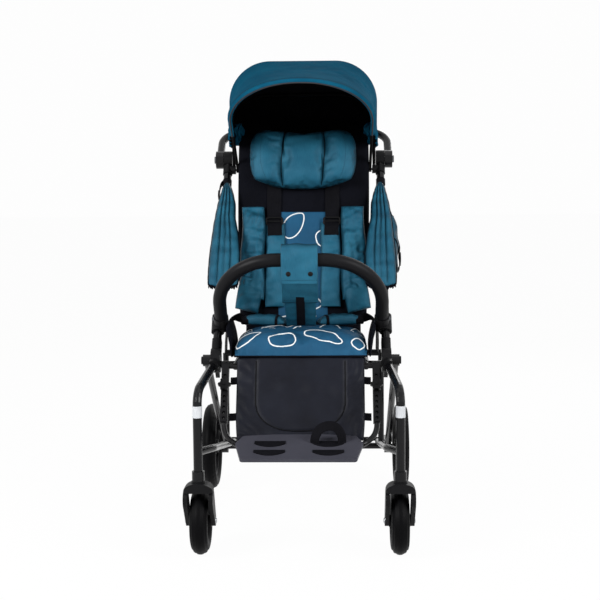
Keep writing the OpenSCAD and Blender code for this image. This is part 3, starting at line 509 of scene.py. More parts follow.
def flat_profile(width, thick, count=8):
    """A webbing profile: a flat band whose edges are half round."""
    angle = np.linspace(-np.pi / 2, np.pi / 2, count)
    edge = np.stack([width / 2 - thick / 2 + thick / 2 * np.cos(angle), thick / 2 * np.sin(angle)], axis=1)
    return np.concatenate([edge, -edge])


def lengths(path):
    """How far along a line each of its points lies."""
    return np.concatenate([[0.0], np.cumsum(np.linalg.norm(np.diff(path, axis=0), axis=1))])


def sample(at, length, values):
    """Vectors between those of a line, at the given lengths along it."""
    return np.stack([np.interp(at, length, values[:, k]) for k in range(3)], axis=1)


def smooth_path(points, count):
    """A smooth line through points: cubic Hermite steps with the slopes of the neighbours, spaced evenly."""
    points = np.asarray(points, float)
    slope = np.gradient(points, axis=0)
    at = np.linspace(0.0, len(points) - 1.0, count * 4)
    i = np.minimum(at.astype(int), len(points) - 2)
    f = (at - i)[:, None]
    dense = ((1 + 2 * f) * (1 - f) ** 2 * points[i] + f * (1 - f) ** 2 * slope[i]
             + f * f * (3 - 2 * f) * points[i + 1] + f * f * (f - 1) * slope[i + 1])
    length = lengths(dense)
    return sample(np.linspace(0.0, length[-1], count), length, dense)


def wear(piece, body):
    """Fixes a piece to a body."""
    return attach(piece, body)


def strap(name, points, up, body, width, thick=0.0022, count=40):
    """A band of webbing along a smooth line, fixed to a body; up is the way its face looks."""
    path = smooth_path(points, count)
    across, face = frames(path, np.asarray(up, float))
    band = surface(name, carry(path, across, face, flat_profile(width, thick)), webbing, ring=True, caps=True)
    return wear(band, body)


def piping(name, path, radius, material, hint=(0.31, 0.52, 0.79), closed=True, count=10):
    """A round cord of cloth sewn along a seam."""
    across, up = frames(path, np.asarray(hint), closed)
    cord = carry(path, across, up, circle(radius, count))
    return surface(name, cord, material, ring=True, loop=closed, caps=not closed)


def bind(name, path, body, radius=0.0024):
    """A black piping round an edge, fixed to a body."""
    return wear(piping(name, path, radius, black_cloth), body)


def wall(piece, thickness, offset=0.0, lining=None):
    """Gives a sheet its thickness and, if it is lined, a second material behind."""
    thick = piece.modifiers.new("wall", "SOLIDIFY")
    thick.thickness = thickness
    thick.offset = offset
    if lining:
        piece.data.materials.append(lining)
        thick.material_offset = 1


def on_cloth(grid, u, v, lift=0.0):
    """Points over a grid at u and v, which run from 0 to 1 along columns and rows: bilinear weights, then
    a lift along the normal."""
    u, v = np.broadcast_arrays(u, v)
    rows, cols = grid.shape[:2]
    x = np.clip(u, 0, 1) * (cols - 1)
    y = np.clip(v, 0, 1) * (rows - 1)
    i = np.minimum(x.astype(int), cols - 2)
    j = np.minimum(y.astype(int), rows - 2)
    f = (x - i)[..., None]
    g = (y - j)[..., None]
    a, b, c, d = grid[j, i], grid[j, i + 1], grid[j + 1, i], grid[j + 1, i + 1]
    normal = unit(np.cross(b - a + d - c, c - a + d - b))
    return a * (1 - f) * (1 - g) + b * f * (1 - g) + c * (1 - f) * g + d * f * g + lift * normal, normal


def stitches(name, path, normals, body, pitch=0.0055, long=0.0034, thick=0.0008):
    """A row of sewn stitches, fixed to a body: one small lozenge for each step of the pitch along a path."""
    length = lengths(path)
    at = np.arange(pitch / 2, length[-1], pitch)
    spot, up = sample(at, length, path), sample(at, length, normals)
    onward = unit(sample(at + 0.0005, length, path) - spot)
    sideways = np.cross(up, onward)
    form = np.array([[-1, 0, 0], [0, -1, 0], [0, 0, 1], [0, 1, 0], [0, 0, -1], [1, 0, 0]], float)
    form = form * [long / 2, thick, thick]
    verts = (spot[:, None] + form[None, :, :1] * onward[:, None] + form[None, :, 1:2] * sideways[:, None]
             + form[None, :, 2:] * up[:, None])
    ends = np.array([[0, 2, 1], [0, 3, 2], [0, 4, 3], [0, 1, 4], [5, 1, 2], [5, 2, 3], [5, 3, 4], [5, 4, 1]])
    faces = (ends[None] + 6 * np.arange(len(at))[:, None, None]).reshape(-1, 3)
    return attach(skin(name, verts.reshape(-1, 3), faces.tolist(), np.zeros((faces.size, 2)), thread), body)


def puff(piece, shape, pressure, cap, held, grow=0.05):
    """Blows a sewn cover up as cloth, with its seam and the held points of its front fixed. Keeps each point
    of its front within cap of where it began and each point of its back within a tenth of that, and returns
    the new front grid."""
    mesh = piece.data
    start = np.empty(len(mesh.vertices) * 3)
    mesh.vertices.foreach_get("co", start)
    start = start.reshape(-1, 3)
    rows, cols = shape
    index = np.arange(rows * cols).reshape(rows, cols)
    seam = piece.vertex_groups.new(name="seam")
    seam.add(np.unique(np.concatenate([rim_of(index), index[held]])).tolist(), 1.0, "REPLACE")
    cloth = piece.modifiers.new("puff", "CLOTH")
    rules = {"quality": 4, "mass": 0.15, "tension_stiffness": 12.0, "compression_stiffness": 6.0,
             "shear_stiffness": 4.0, "bending_stiffness": 0.08, "use_pressure": True,
             "uniform_pressure_force": pressure, "vertex_group_mass": "seam", "shrink_min": -grow}
    for key, value in rules.items():
        setattr(cloth.settings, key, value)
    cloth.settings.effector_weights.gravity = 0.0
    scene = bpy.context.scene
    for step in range(1, 15):
        scene.frame_set(step)
    drawn = piece.evaluated_get(bpy.context.evaluated_depsgraph_get()).data
    blown = np.empty(len(mesh.vertices) * 3)
    drawn.vertices.foreach_get("co", blown)
    move = blown.reshape(-1, 3) - start
    far = np.linalg.norm(move, axis=1, keepdims=True)
    allowed = np.where(np.arange(len(start)) < rows * cols, cap, cap / 10)[:, None]
    start = start + move * np.minimum(1.0, allowed / np.maximum(far, 1e-9))
    piece.modifiers.remove(cloth)
    piece.vertex_groups.clear()
    scene.frame_set(1)
    mesh.vertices.foreach_set("co", start.astype(np.float32).ravel())
    mesh.update()
    return start[:rows * cols].reshape(rows, cols, 3)


# Seat cushion: foam in a blue printed cover, crowned, with a sewn channel across and a roll over the front
# edge of the seat board. Black piping closes its seam. It rests on the board.
in_room = plane(np.zeros(3), *np.eye(3))
seat_half, seat_front, seat_back = 0.1725, -0.187, 0.035
seat_rim, seat_top, seat_under = 0.468, 0.521, 0.4585
channel_at, channel_row = 0.08, 0.54
u, v = square(56, 48)
x = seat_half * u * np.sqrt(1 - 0.06 * v * v) * (1 - 0.02 * (1 - v * v))
y = (seat_front + seat_back) / 2 + (seat_back - seat_front) / 2 * v * np.sqrt(1 - 0.05 * u * u)
full = fullness(u, v, 5)
channel = bell(v - channel_at, 0.045) * np.clip(1.2 - np.abs(u) ** 8, 0, 1)
crown = (seat_top - seat_rim) * full ** 0.8 - 0.006 * channel * full + 0.0016 * waves(x, y, 0.05, 3) * full
crown = crown + 0.003 * (1 - u * u) * (1 - v * v) - 0.003
seat_deep = (seat_rim - seat_under) * full
seat, _ = pad("seat_cushion_cover", in_room, x, y, seat_rim, crown, seat_deep, blue_cloth)
seat_face = puff(seat, u.shape, pressure=3.0, cap=0.006, held=np.abs(v - channel_at) < 0.04)
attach(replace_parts(seat, "seat_cushion"), "chassis")
bind("seat_piping", rim_of(seat_face), "chassis")
channel_line = on_cloth(seat_face, np.linspace(0.12, 0.88, 160), channel_row, 0.0006)
stitches("seat_channel_stitches", *channel_line, "chassis")


# Side skirts: black cloth strips sewn down both sides of the seat cover, over the seat rails, with a soft
# upper edge that leans outwards.
skirt_y, skirt_long, skirt_z, skirt_half, skirt_x = -0.071, 0.108, 0.498, 0.043, 0.1755
for side, sign in sides:
    beside_seat = plane(np.zeros(3), [0, 1, 0], [0, 0, 1], [sign, 0, 0])
    u, v = square(60, 24)
    y = skirt_y + sign * skirt_long * u
    z = skirt_z + skirt_half * v * np.sqrt(1 - 0.3 * u * u)
    lean_out = skirt_x + 0.013 * ((v + 1) / 2) ** 2
    full = fullness(u, v, 4)
    swell = 0.0055 * full ** 0.7 + 0.0012 * waves(y, z, 0.03, 15 + sign) * full
    skirt, _ = pad("seat_skirt_" + side, beside_seat, y, z, lean_out, swell, 0.0012 * full, black_cloth)
    wear(skirt, "chassis")


# Printed outlines on the blue panels: plain leaves and pebbles in white ink, laid out freely.
white_ink = finish("white_screen_ink", "#eef2f3", "#dfe5e7", 0.5, 0.05, 1.0, 0.1)


def leaf(count=72):
    """A leaf outline: an oval that narrows towards one end."""
    angle = turns(count)
    return np.stack([np.cos(angle), 0.46 * np.sin(angle) * (1 - 0.35 * np.cos(angle))], axis=1)


def pebble(count=72):
    """A pebble outline: a squarish round from a superellipse, with one flatter side."""
    angle = turns(count)
    swell = (np.abs(np.cos(angle)) ** 3 + np.abs(np.sin(angle)) ** 3) ** (-1 / 3)
    flatter = 0.86 + 0.1 * np.cos(angle)
    return 0.72 * np.stack([swell * np.cos(angle), swell * np.sin(angle) * flatter], axis=1)


def printed(name, grid, marks, size, body, width=0.0034, thick=0.0007):
    """White outlines laid on a grid and fixed to a body: each mark gives a shape, its middle in u and v, its
    length in metres and its turn in degrees; size is the panel's width and length in metres."""
    bands = []
    for shape, at_u, at_v, long, degrees in marks:
        cos, sin = math.cos(math.radians(degrees)), math.sin(math.radians(degrees))
        form = long / 2 * shape() @ np.array([[cos, sin], [-sin, cos]])
        path, normals = on_cloth(grid, at_u + form[:, 0] / size[0], at_v + form[:, 1] / size[1], thick)
        bands.append(carry(path, *frames(path, normals, closed=True), flat_profile(width, thick, 4)))
    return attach(surface(name, bands, white_ink, ring=True, loop=True), body)


seat_marks = [(leaf, 0.17, 0.2, 0.085, 30), (pebble, 0.4, 0.13, 0.068, 10), (leaf, 0.63, 0.19, 0.085, -35),
              (pebble, 0.86, 0.13, 0.062, 60), (leaf, 0.38, 0.56, 0.08, 15), (pebble, 0.66, 0.58, 0.06, 20),
              (pebble, 0.13, 0.62, 0.06, 0), (leaf, 0.88, 0.6, 0.08, 60)]
printed("seat_print", seat_face, seat_marks, (0.345, 0.27), "chassis")


# Backrest pad: black cloth over foam, laid on the bent back tube, with a few slack wrinkles across. A blue
# printed panel is sewn down its middle. On the backrest, points lie across, up along it and out of its face.
back_lean = math.radians(20)
back_up = np.array([0.0, math.sin(back_lean), math.cos(back_lean)])
back_out = np.array([0.0, -back_up[2], back_up[1]])
on_back = plane(np.array([0.0, 0.08, 0.47]), rightward, back_up, back_out)
back_half, back_middle, back_long, back_seam = 0.181, 0.325, 0.28, 0.0153
u, v = square(52, 72)
x = (back_half + 0.006 * v) * u * np.sqrt(1 - 0.05 * v * v)
t = back_middle + back_long * v * np.sqrt(1 - 0.05 * u * u)
full = fullness(u, v, 6)
swell = 0.0265 * full ** 0.7 + 0.0022 * waves(0.35 * x, t, 0.06, 11) * full * np.clip(0.4 + v, 0, 1)
back_pad, back_face = pad("backrest_cover", on_back, x, t, back_seam, swell, 0.007 * full, black_cloth)
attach(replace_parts(back_pad, "backrest_pad"), "backrest")
bind("backrest_piping", rim_of(back_face), "backrest")
u, v = square(40, 48)
insert_low = on_cloth(back_face, 0.5 + 0.135 * u * (1 - 0.04 * v), 0.28 + 0.26 * v)[0]
insert_face = insert_low + (0.0004 + 0.0036 * fullness(u, v, 8))[..., None] * back_out
insert = cushion("backrest_insert", insert_face, insert_low - 0.0015 * back_out, blue_cloth)
wear(insert, "backrest")
back_marks = [(leaf, 0.36, 0.85, 0.074, 70), (pebble, 0.84, 0.74, 0.05, 15), (leaf, 0.36, 0.48, 0.065, -40),
              (pebble, 0.64, 0.34, 0.045, 40), (leaf, 0.4, 0.16, 0.07, 20)]
printed("backrest_print", insert_face, back_marks, (0.118, 0.31), "backrest")


# A black flap closes the gap between the seat and the foot of the backrest, sewn to both.
u, v = np.meshgrid(np.linspace(-1, 1, 30), np.linspace(0, 1, 16))
flap_half, gap_line = 0.155, [(0, 0.02, 0.488), (0, 0.045, 0.487), (0, 0.068, 0.505), (0, 0.077, 0.54)]
flap_line = smooth_path(gap_line, len(v))[:, None]
flap_z = flap_line[..., 2] + 0.0015 * waves(0.3 * u, 0.1 * v, 0.05, 5)
flap = surface("seat_back_flap", in_room(flap_half * u, flap_line[..., 1], flap_z), black_cloth)
wall(flap, thickness=0.003)
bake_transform(flap)


# Headrest: a stuffed pillow in teal cloth with two darts that make a middle and two wings, which curl
# forward. A tab at its back lies on the backrest.
head_at, head_half, head_base, dart_at, dart_lean = 0.508, 0.148, 0.0474, 0.4, 0.03
u, v = square(72, 44)
top = 0.074 + 0.012 * np.abs(u) ** 1.5 - 0.022 * np.abs(u) ** 6
foot = -0.088 + 0.022 * np.abs(u) ** 2.2
x = head_half * u * (1 - 0.1 * np.abs(v) ** 2.6)
t = head_at + (top + foot) / 2 + (top - foot) / 2 * v
full = fullness(u, v, 3.4)
darts = sum(bell(u - at - dart_lean * v, 0.028) for at in (-dart_at, dart_at))
tucks = 0.0025 * np.sin(46 * u + 2.0 * v) * np.clip(-v - 0.45, 0, 1) * bell(np.abs(u) - 0.5, 0.22)
rise = 0.008 + 0.042 * full ** 0.75 + 0.009 * bell(np.abs(u) - 0.68, 0.2) * full
pillow, _ = pad("headrest_pillow", on_back, x, t, head_base + 0.02 * np.abs(u) ** 3,
                rise - 0.013 * darts * full ** 0.5 + tucks, -0.008 * (1 - full), teal_cloth)
in_dart = (np.abs(np.abs(u) - dart_at) < 0.02) & (np.abs(v) < 0.9)
head_face = puff(pillow, u.shape, pressure=5.0, cap=0.008, held=in_dart)
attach(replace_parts(pillow, "headrest"), "headrest")
seam_v = np.linspace(0.07, 0.93, 80)
seam_height = 2 * seam_v - 1
for side, sign in sides:
    dart, normals = on_cloth(head_face, share(sign * dart_at + dart_lean * seam_height, u[0]), seam_v, 0.0002)
    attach(piping("headrest_dart_" + side, dart, 0.0011, thread, normals, closed=False, count=8), "headrest")
    wing_edge = 1.95 * sign * dart_at * (1 - 0.12 * seam_height ** 2)
    wing_line = on_cloth(head_face, share(wing_edge, u[0]), seam_v, 0.0003)
    stitches("headrest_wing_stitches_" + side, *wing_line, "headrest")
u, v = square(12, 12)
full = fullness(u, v, 8)
tab, _ = pad("headrest_tab", on_back, 0.034 * u, head_at - 0.01 + 0.03 * v, 0.0455, 0.004 * full,
             0.0015 * full, black_cloth)
wear(tab, "headrest")


# Trunk pads: two upright bolsters of teal cloth over soft foam, sewn to the backrest at its edges, each with
# a short tail below. The cloth is slack, so it wrinkles.
bolster_x, bolster_half, bolster_middle, bolster_long, bolster_seam = 0.138, 0.033, 0.236, 0.134, 0.05
tail_x, tail_middle, tail_long, tail_seam = 0.146, 0.118, 0.046, 0.052
for side, sign in sides:
    u, v = square(28, 66)
    x = sign * bolster_x + bolster_half * u * np.sqrt(1 - 0.12 * v * v) + 0.002 * np.sin(5 * v + sign)
    t = bolster_middle + bolster_long * v
    full = fullness(u, v, 3)
    slack = 0.0056 * waves(0.45 * x, t, 0.04, 21 + sign) * full + 0.002 * waves(x, t, 0.02, 5 + sign) * full
    bolster, bolster_face = pad("trunk_pad_" + side, on_back, x, t, bolster_seam, 0.024 * full ** 0.7 + slack,
                                0.0075 * full, teal_cloth)
    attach(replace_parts(bolster, "side_pads"), "backrest")
    inner_line = on_cloth(bolster_face, 0.5 - 0.36 * sign, np.linspace(0.04, 0.96, 120), 0.0004)
    stitches("trunk_pad_stitches_" + side, *inner_line, "backrest")
    u, v = square(28, 30)
    x = sign * (tail_x - 0.008 * v) + bolster_half * u * np.sqrt(1 - 0.1 * v * v)
    t = tail_middle + tail_long * v + 0.008 * sign * u
    full = fullness(u, v, 3)
    swell = 0.019 * full ** 0.7 + 0.0034 * waves(0.6 * x, t, 0.03, 25 + sign) * full
    tail, _ = pad("trunk_pad_tail_" + side, on_back, x, t, tail_seam + 0.004 * v, swell, 0.009 * full,
                  teal_cloth)
    wear(tail, "backrest")


# Shoulder harness: a padded teal sleeve on each black webbing strap, which runs up behind the headrest
# through a ladder buckle of moulded nylon.
def buckle(name, middle, beside, upwards, body, width, height, wire):
    """A ladder buckle, fixed to a body: a squarish ring of flat wire, with a flatter ring across its middle
    as the bar."""
    angle = turns(40)
    swell = (np.abs(np.cos(angle)) ** 6 + np.abs(np.sin(angle)) ** 6) ** (-1 / 6)
    on_ring = plane(middle, np.asarray(beside, float), np.asarray(upwards, float), np.zeros(3))
    rings = []
    for wide, tall in ((width, height), (width * 0.9, wire * 1.1)):
        path = on_ring(swell * np.cos(angle) * (wide - wire) / 2,
                       swell * np.sin(angle) * (tall - wire) / 2, 0.0)
        axes = frames(path, np.cross(beside, upwards), closed=True)
        rings.append(carry(path, *axes, flat_profile(wire, wire * 0.7, 5)))
    return wear(surface(name, rings, nylon, ring=True, loop=True), body)


sleeve_x, sleeve_half, sleeve_middle, sleeve_long, sleeve_seam = 0.076, 0.028, 0.204, 0.12, 0.0478
for side, sign in sides:
    u, v = square(22, 64)
    x = sign * sleeve_x + sleeve_half * u * np.sqrt(1 - 0.1 * v * v) + 0.0015 * np.sin(4 * v + 1)
    t = sleeve_middle + sleeve_long * v
    full = fullness(u, v, 3.2)
    swell = 0.0095 * full ** 0.7 + 0.0028 * waves(0.6 * x, t, 0.035, 31 + sign) * full
    sleeve, sleeve_face = pad("shoulder_sleeve_" + side, on_back, x, t, sleeve_seam, swell, 0.0035 * full,
                              teal_cloth)
    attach(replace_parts(sleeve, "shoulder_straps"), "backrest")
    for edge, way in (("inner", -sign), ("outer", sign)):
        edge_line = on_cloth(sleeve_face, 0.5 + 0.36 * way, np.linspace(0.03, 0.97, 110), 0.0003)
        stitches(f"shoulder_stitches_{edge}_{side}", *edge_line, "backrest")
    harness_line = on_back(sign * np.array([0.078, 0.079, 0.08, 0.081, 0.081, 0.081]),
                           [0.285, 0.312, 0.329, 0.35, 0.4, 0.462],
                           [0.0585, 0.0572, 0.0505, 0.0466, 0.0457, 0.0457])
    strap("shoulder_webbing_" + side, harness_line, back_out, "backrest", width=0.04)
    buckle_at = on_back(sign * 0.08, 0.327, 0.0545)
    buckle("shoulder_buckle_" + side, buckle_at, rightward, back_up, "backrest", width=0.05, height=0.026,
           wire=0.005)


# Hip belts: two short stuffed rolls of teal cloth on the seat, with ends bound in black, pulled to the seat
# frame by webbing with a ladder buckle. The bindings lie round columns of the roll, counted from its ends.
roll_x, roll_y, roll_seam, roll_half, roll_wide = 0.102, -0.008, 0.532, 0.06, 0.022
roll_lean = math.radians(14)
for side, sign in sides:
    u, v = square(44, 26)
    lean = sign * roll_lean
    endwise, wide = roll_half * u, roll_wide * v * np.sqrt(1 - 0.2 * u * u)
    x = sign * roll_x + endwise * math.cos(lean) - wide * math.sin(lean)
    y = roll_y + endwise * math.sin(lean) + wide * math.cos(lean)
    full = fullness(u, v, 2.6)
    swell = 0.0215 * full ** 0.8 + 0.0012 * waves(x, 0.4 * y, 0.02, 41 + sign) * full
    sink = 0.0098 * full
    roll, roll_face = pad("hip_roll_" + side, in_room, x, y, roll_seam, swell, sink, teal_cloth)
    roll_under = in_room(x, y, roll_seam - sink)
    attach(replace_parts(roll, "hip_belts"), "chassis")
    inner_column, outer_column = (11, -9) if sign > 0 else (-12, 8)
    for end, column, broad in (("inner", inner_column, 0.008), ("outer", outer_column, 0.022)):
        girth = np.concatenate([roll_face[:, column], roll_under[-2:0:-1, column]])
        axes = frames(girth, girth - girth.mean(axis=0), closed=True)
        bound = carry(girth, *axes, flat_profile(broad, 0.0018, 5))
        bound = surface(f"hip_binding_{end}_{side}", bound, webbing, ring=True, loop=True)
        wear(bound, "chassis")
    belt_line = np.array([(0.148, 0.003, 0.534), (0.174, -0.01, 0.546), (0.195, -0.033, 0.534),
                          (0.1975, -0.07, 0.502), (0.196, -0.108, 0.466)]) * [sign, 1, 1]
    strap("hip_webbing_" + side, belt_line, (sign, -0.1, 0.35), "chassis", width=0.025)
    belt_way = unit(belt_line[3] - belt_line[2])
    buckle_at = (belt_line[2] + belt_line[3]) / 2 + [sign * 0.0018, 0, 0.0006]
    buckle_across = np.cross(belt_way, [sign, 0, 0])
    buckle("hip_buckle_" + side, buckle_at, buckle_across, belt_way, "chassis", width=0.034, height=0.022,
           wire=0.004)


# Side wings: quilted pads of teal cloth in front of the uprights, sewn in long channels and bound with a
# black hem that ruffles. By an upright, points lie across, up along its axis and in front of it.
upright_foot = np.array([0.0, -0.15, 0.45])
upright_dir = np.array([0.0, 0.6474, 0.7622])
upright_out = np.array([0.0, -0.7622, 0.6474])
on_upright = plane(upright_foot, rightward, upright_dir, upright_out)
wing_middle, wing_long, wing_seam, quilt_seams = 0.396, 0.18, 0.0185, (-0.42, 0.0, 0.42)
for side, sign in sides:
    u, v = square(40, 84)
    part = (v + 1) / 2
    inner = np.interp(part, [0, 0.3, 0.5, 0.65, 0.8, 0.92, 1],
                      [0.168, 0.17, 0.178, 0.188, 0.19, 0.198, 0.206])
    outer = np.interp(part, [0, 0.3, 0.6, 0.8, 0.92, 1], [0.252, 0.25, 0.244, 0.237, 0.23, 0.225])
    x = sign * ((inner + outer) / 2 + sign * (outer - inner) / 2 * u * np.sqrt(1 - 0.16 * v ** 6))
    h = wing_middle + wing_long * v * np.sqrt(1 - 0.1 * u * u)
    full = fullness(u, v, 5)
    sewn = sum(bell(u - at, 0.055) for at in quilt_seams)
    swell = 0.0155 * full ** 0.7 - 0.005 * sewn * full + 0.0014 * waves(0.6 * x, h, 0.04, 51 + sign) * full
    wing, wing_face = pad("side_wing_cover_" + side, on_upright, x, h, wing_seam, swell, 0.0065 * full,
                          teal_cloth)
    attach(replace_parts(wing, "side_wing_" + side), "chassis")
    hem = rim_of(wing_face)
    hem = hem + 0.0012 * np.sin(np.arange(len(hem)) * 0.9)[:, None] * upright_out
    bind("side_wing_hem_" + side, hem, "chassis", radius=0.0025)
    along = np.linspace(0.0, 1.0, 90)
    fall = np.linspace(1.0, 0.0, 6)[:, None]
    frill_out = (0.0035 * np.sin(75 * along) * fall + 0.001)[..., None] * upright_out
    frill_drop = (0.009 * fall * (1 + 0.25 * np.sin(41 * along)))[..., None] * upright_dir
    frill_grid = on_cloth(wing_face, along, 0.0)[0] - frill_drop + frill_out
    frill = surface("side_wing_frill_" + side, frill_grid, black_cloth)
    wall(frill, thickness=0.0012)
    wear(frill, "chassis")
    for number, at in enumerate(quilt_seams):
        seam_line = on_cloth(wing_face, share(at, u[0]), np.linspace(0.06, 0.94, 150), 0.0003)
        stitches(f"side_wing_stitches_{number}_{side}", *seam_line, "chassis")


# Side bag: a flat pouch of teal cloth behind the right upright, with a flap, black binding and a webbing tie
# with a buckle. It sags, so it is fuller at its foot. Points of it lie behind the upright, up along it and
# out to the right.
bag_back = -upright_out
bag_wall = 0.2283
on_bag = plane(upright_foot + bag_wall * rightward, bag_back, upright_dir, rightward)
bag_behind, bag_half, bag_middle, bag_long, bag_seam = 0.045, 0.055, 0.4, 0.095, 0.009
u, v = square(36, 56)
a = bag_behind + bag_half * u * np.sqrt(1 - 0.14 * v ** 4)
h = bag_middle + bag_long * v * np.sqrt(1 - 0.12 * u * u) - 0.004 * (1 - u * u) * (1 - v) / 2
full = fullness(u, v, 3.6)
swell = (0.0215 - 0.0035 * v) * full ** 0.75 + 0.0022 * waves(0.6 * a, h, 0.04, 61) * full
bag, bag_face = pad("side_pouch", on_bag, a, h, bag_seam, swell, 0.0085 * full, teal_cloth)
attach(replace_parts(bag, "side_bag"), "chassis")
bind("side_pouch_binding", rim_of(bag_face), "chassis", radius=0.0022)
u, v = square(30, 24)
flap_low = on_cloth(bag_face, (u + 1) / 2, 0.6 + 0.19 * v + 0.05 * (u ** 2) * (1 - v) / 2)[0]
flap_face = flap_low + (0.0008 + 0.0028 * fullness(u, v, 6))[..., None] * rightward
pouch_flap = cushion("side_pouch_flap", flap_face, flap_low - 0.001 * rightward, teal_cloth)
wear(pouch_flap, "chassis")
bind("side_pouch_flap_edge", rim_of(flap_face), "chassis", radius=0.0018)
tie_line = on_cloth(bag_face, 0.5, np.linspace(0.16, 0.74, 40), 0.0048)[0]
strap("side_pouch_tie", tie_line[::4], rightward, "chassis", width=0.022, thick=0.002)
buckle("side_pouch_buckle", tie_line[12] + 0.0022 * rightward, bag_back, upright_dir, "chassis", width=0.034,
       height=0.03, wire=0.005)


# Ties of black webbing: one round each upright under the canopy, with a loose end and a buckle on the left.
def hoop(name, middle, axis, body, radius, width, thick):
    """A flat band of webbing closed round an axis and fixed to a body."""
    first = unit(np.cross(axis, [1.0, 0.2, 0.1]))
    angle = turns(40)[:, None]
    spoke = np.cos(angle) * first + np.sin(angle) * np.cross(axis, first)
    path = middle + radius * spoke
    band = carry(path, *frames(path, spoke, closed=True), flat_profile(width, thick, 5))
    return wear(surface(name, band, webbing, ring=True, loop=True), body)


for side, sign in sides:
    tie_at = on_upright(sign * 0.218, 0.592, 0.0)
    hoop("upright_tie_" + side, tie_at, upright_dir, "chassis", radius=0.0121, width=0.02, thick=0.0018)
loose_end = on_upright([-0.2305, -0.2355, -0.2375, -0.236, -0.2385], [0.592, 0.575, 0.545, 0.5, 0.466],
                       [0.002, 0.006, 0.004, -0.002, -0.006])
strap("upright_tie_tail", loose_end, -rightward, "chassis", width=0.016, thick=0.0018)
buckle("upright_tie_buckle", loose_end[2] - 0.0015 * rightward, upright_out, upright_dir, "chassis",
       width=0.024, height=0.024, wire=0.004)


# Crotch strap: a teal cloth loop hung over the bumper bar, its front flap closed by two press studs. A
# narrower part with a strip of black webbing runs down to the seat.
def hung_strip(name, points, half_low, half_high, count, seed, crumple=0.0011, thick=0.0026):
    """A strip of teal cloth along a smooth line: its half width goes from one value to the other, and
    wrinkles of a given depth run over it. Returns the piece, its grid and its length."""
    path = smooth_path(points, count)
    part = np.linspace(0.0, 1.0, count)[:, None]
    beside = (half_low + (half_high - half_low) * part) * np.linspace(-1.0, 1.0, 26)
    sag = crumple * waves(beside, 0.3 * part + 0 * beside, 0.04, seed)
    normal = unit(np.cross(rightward, np.gradient(path, axis=0)))
    grid = path[:, None] + beside[..., None] * rightward + sag[..., None] * normal[:, None]
    piece = surface(name, grid, teal_cloth)
    wall(piece, thick)
    return piece, grid, lengths(path)[-1]


loop_line = [(0, -0.2475, 0.653), (0, -0.2495, 0.675), (0, -0.2495, 0.7), (0, -0.248, 0.726),
             (0, -0.24, 0.7435), (0, -0.2266, 0.7505), (0, -0.213, 0.7435), (0, -0.2062, 0.724),
             (0, -0.206, 0.695), (0, -0.2125, 0.668), (0, -0.2, 0.642), (0, -0.182, 0.616), (0, -0.168, 0.6)]
loop_half, lower_half, foot_half = 0.0455, 0.041, 0.038
loop_cloth, loop_grid, loop_long = hung_strip("crotch_loop", loop_line, loop_half, loop_half, 90, seed=71)
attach(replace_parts(loop_cloth, "crotch_strap"), "bumper")
lower_line = [(0, -0.203, 0.69), (0, -0.206, 0.664), (0, -0.191, 0.633), (0, -0.163, 0.5965),
              (0, -0.131, 0.562), (0, -0.104, 0.5345)]
lower_cloth, lower_grid, lower_long = hung_strip("crotch_lower_part", lower_line, lower_half, foot_half, 60,
                                                 seed=73, crumple=0.0005)
wear(lower_cloth, "bumper")
for name, at in (("crotch_flap_hem", 0.035), ("crotch_panel_hem", 0.965)):
    path, normals = on_cloth(loop_grid, np.linspace(0.03, 0.97, 70), at)
    facing = normals * np.sign(-normals[:, 1:2])
    stitches(name, path + facing * 0.0016, facing, "bumper")
for side, at in (("left", 0.2), ("right", 0.8)):
    spot, normal = on_cloth(loop_grid, at, 0.09)
    facing = normal * np.sign(-normal[1])
    stud = dome("crotch_stud_" + side, spot + 0.0011 * facing, facing, nylon, radius=0.0062, height=0.003)
    wear(stud, "bumper")
strip_out = np.array([0.0, -0.787, -0.617])
strip_line = on_cloth(lower_grid, 0.5, np.linspace(0.42, 0.97, 14))[0] + 0.0032 * strip_out
strap("crotch_webbing", strip_line, strip_out, "bumper", width=0.022, thick=0.002)


# Canopy: one sheet of coated teal cloth with a black lining, stretched over three hoops and bound along its
# brim. A back panel of the same cloth closes the rear hoop. Each hoop has its slope in degrees, its reach,
# half width and bend radius, and where its legs start.
hood_pivot = np.array([0.0, 0.2654, 0.939])
hoops = {"front": (30.0, 0.441, 0.189, 0.185, 0.19), "middle": (77.0, 0.3, 0.2, 0.11, 0.068),
         "rear": (112.0, 0.235, 0.2, 0.1, 0.068)}
hood_wall, over_bow = 0.0022, 0.0078
# The canopy cloth gets a slight painted shade where it turns away from the eye.
hood_cloth = woven("coated_teal_canopy_cloth", "#145d79", "#0d4863", 1.8, 0.8, 0.0, shine=0.01, satin=0.2)
coated_lining = woven("black_coated_lining", "#0b0b0e", "#060608", 1.4, 0.8, 0.0, heather=0.15, bump=0.25)
brim_binding = finish("grey_black_binding_tape", "#3a3a3e", "#2a2a2d", 0.6, 0.05, 1.2, 0.4)


def hoop_line(hoop_name, s, out):
    """Points on a bow at s from -1 to 1 along its length: up a leg, round a bend, over the top and down; out
    is how far outside the tube's axis they lie."""
    degrees, reach, half, bend, start = hoops[hoop_name]
    reach, half, bend = reach + out, half + out, bend + out
    top, quarter = half - bend, bend * np.pi / 2
    far = np.abs(s) * (top + quarter + reach - bend - start)
    angle = np.clip((far - top) / bend, 0.0, np.pi / 2)
    x = np.sign(s) * (np.minimum(far, top) + bend * np.sin(angle))
    r = reach - bend + bend * np.cos(angle) - np.maximum(far - top - quarter, 0.0)
    slope = math.radians(degrees)
    return hood_pivot + np.stack([x, -r * math.cos(slope), r * math.sin(slope)], axis=-1)


def between(first, second, shares):
    """Rows that go from one line to another."""
    shares = shares[:, None, None]
    return (1 - shares) * first + shares * second


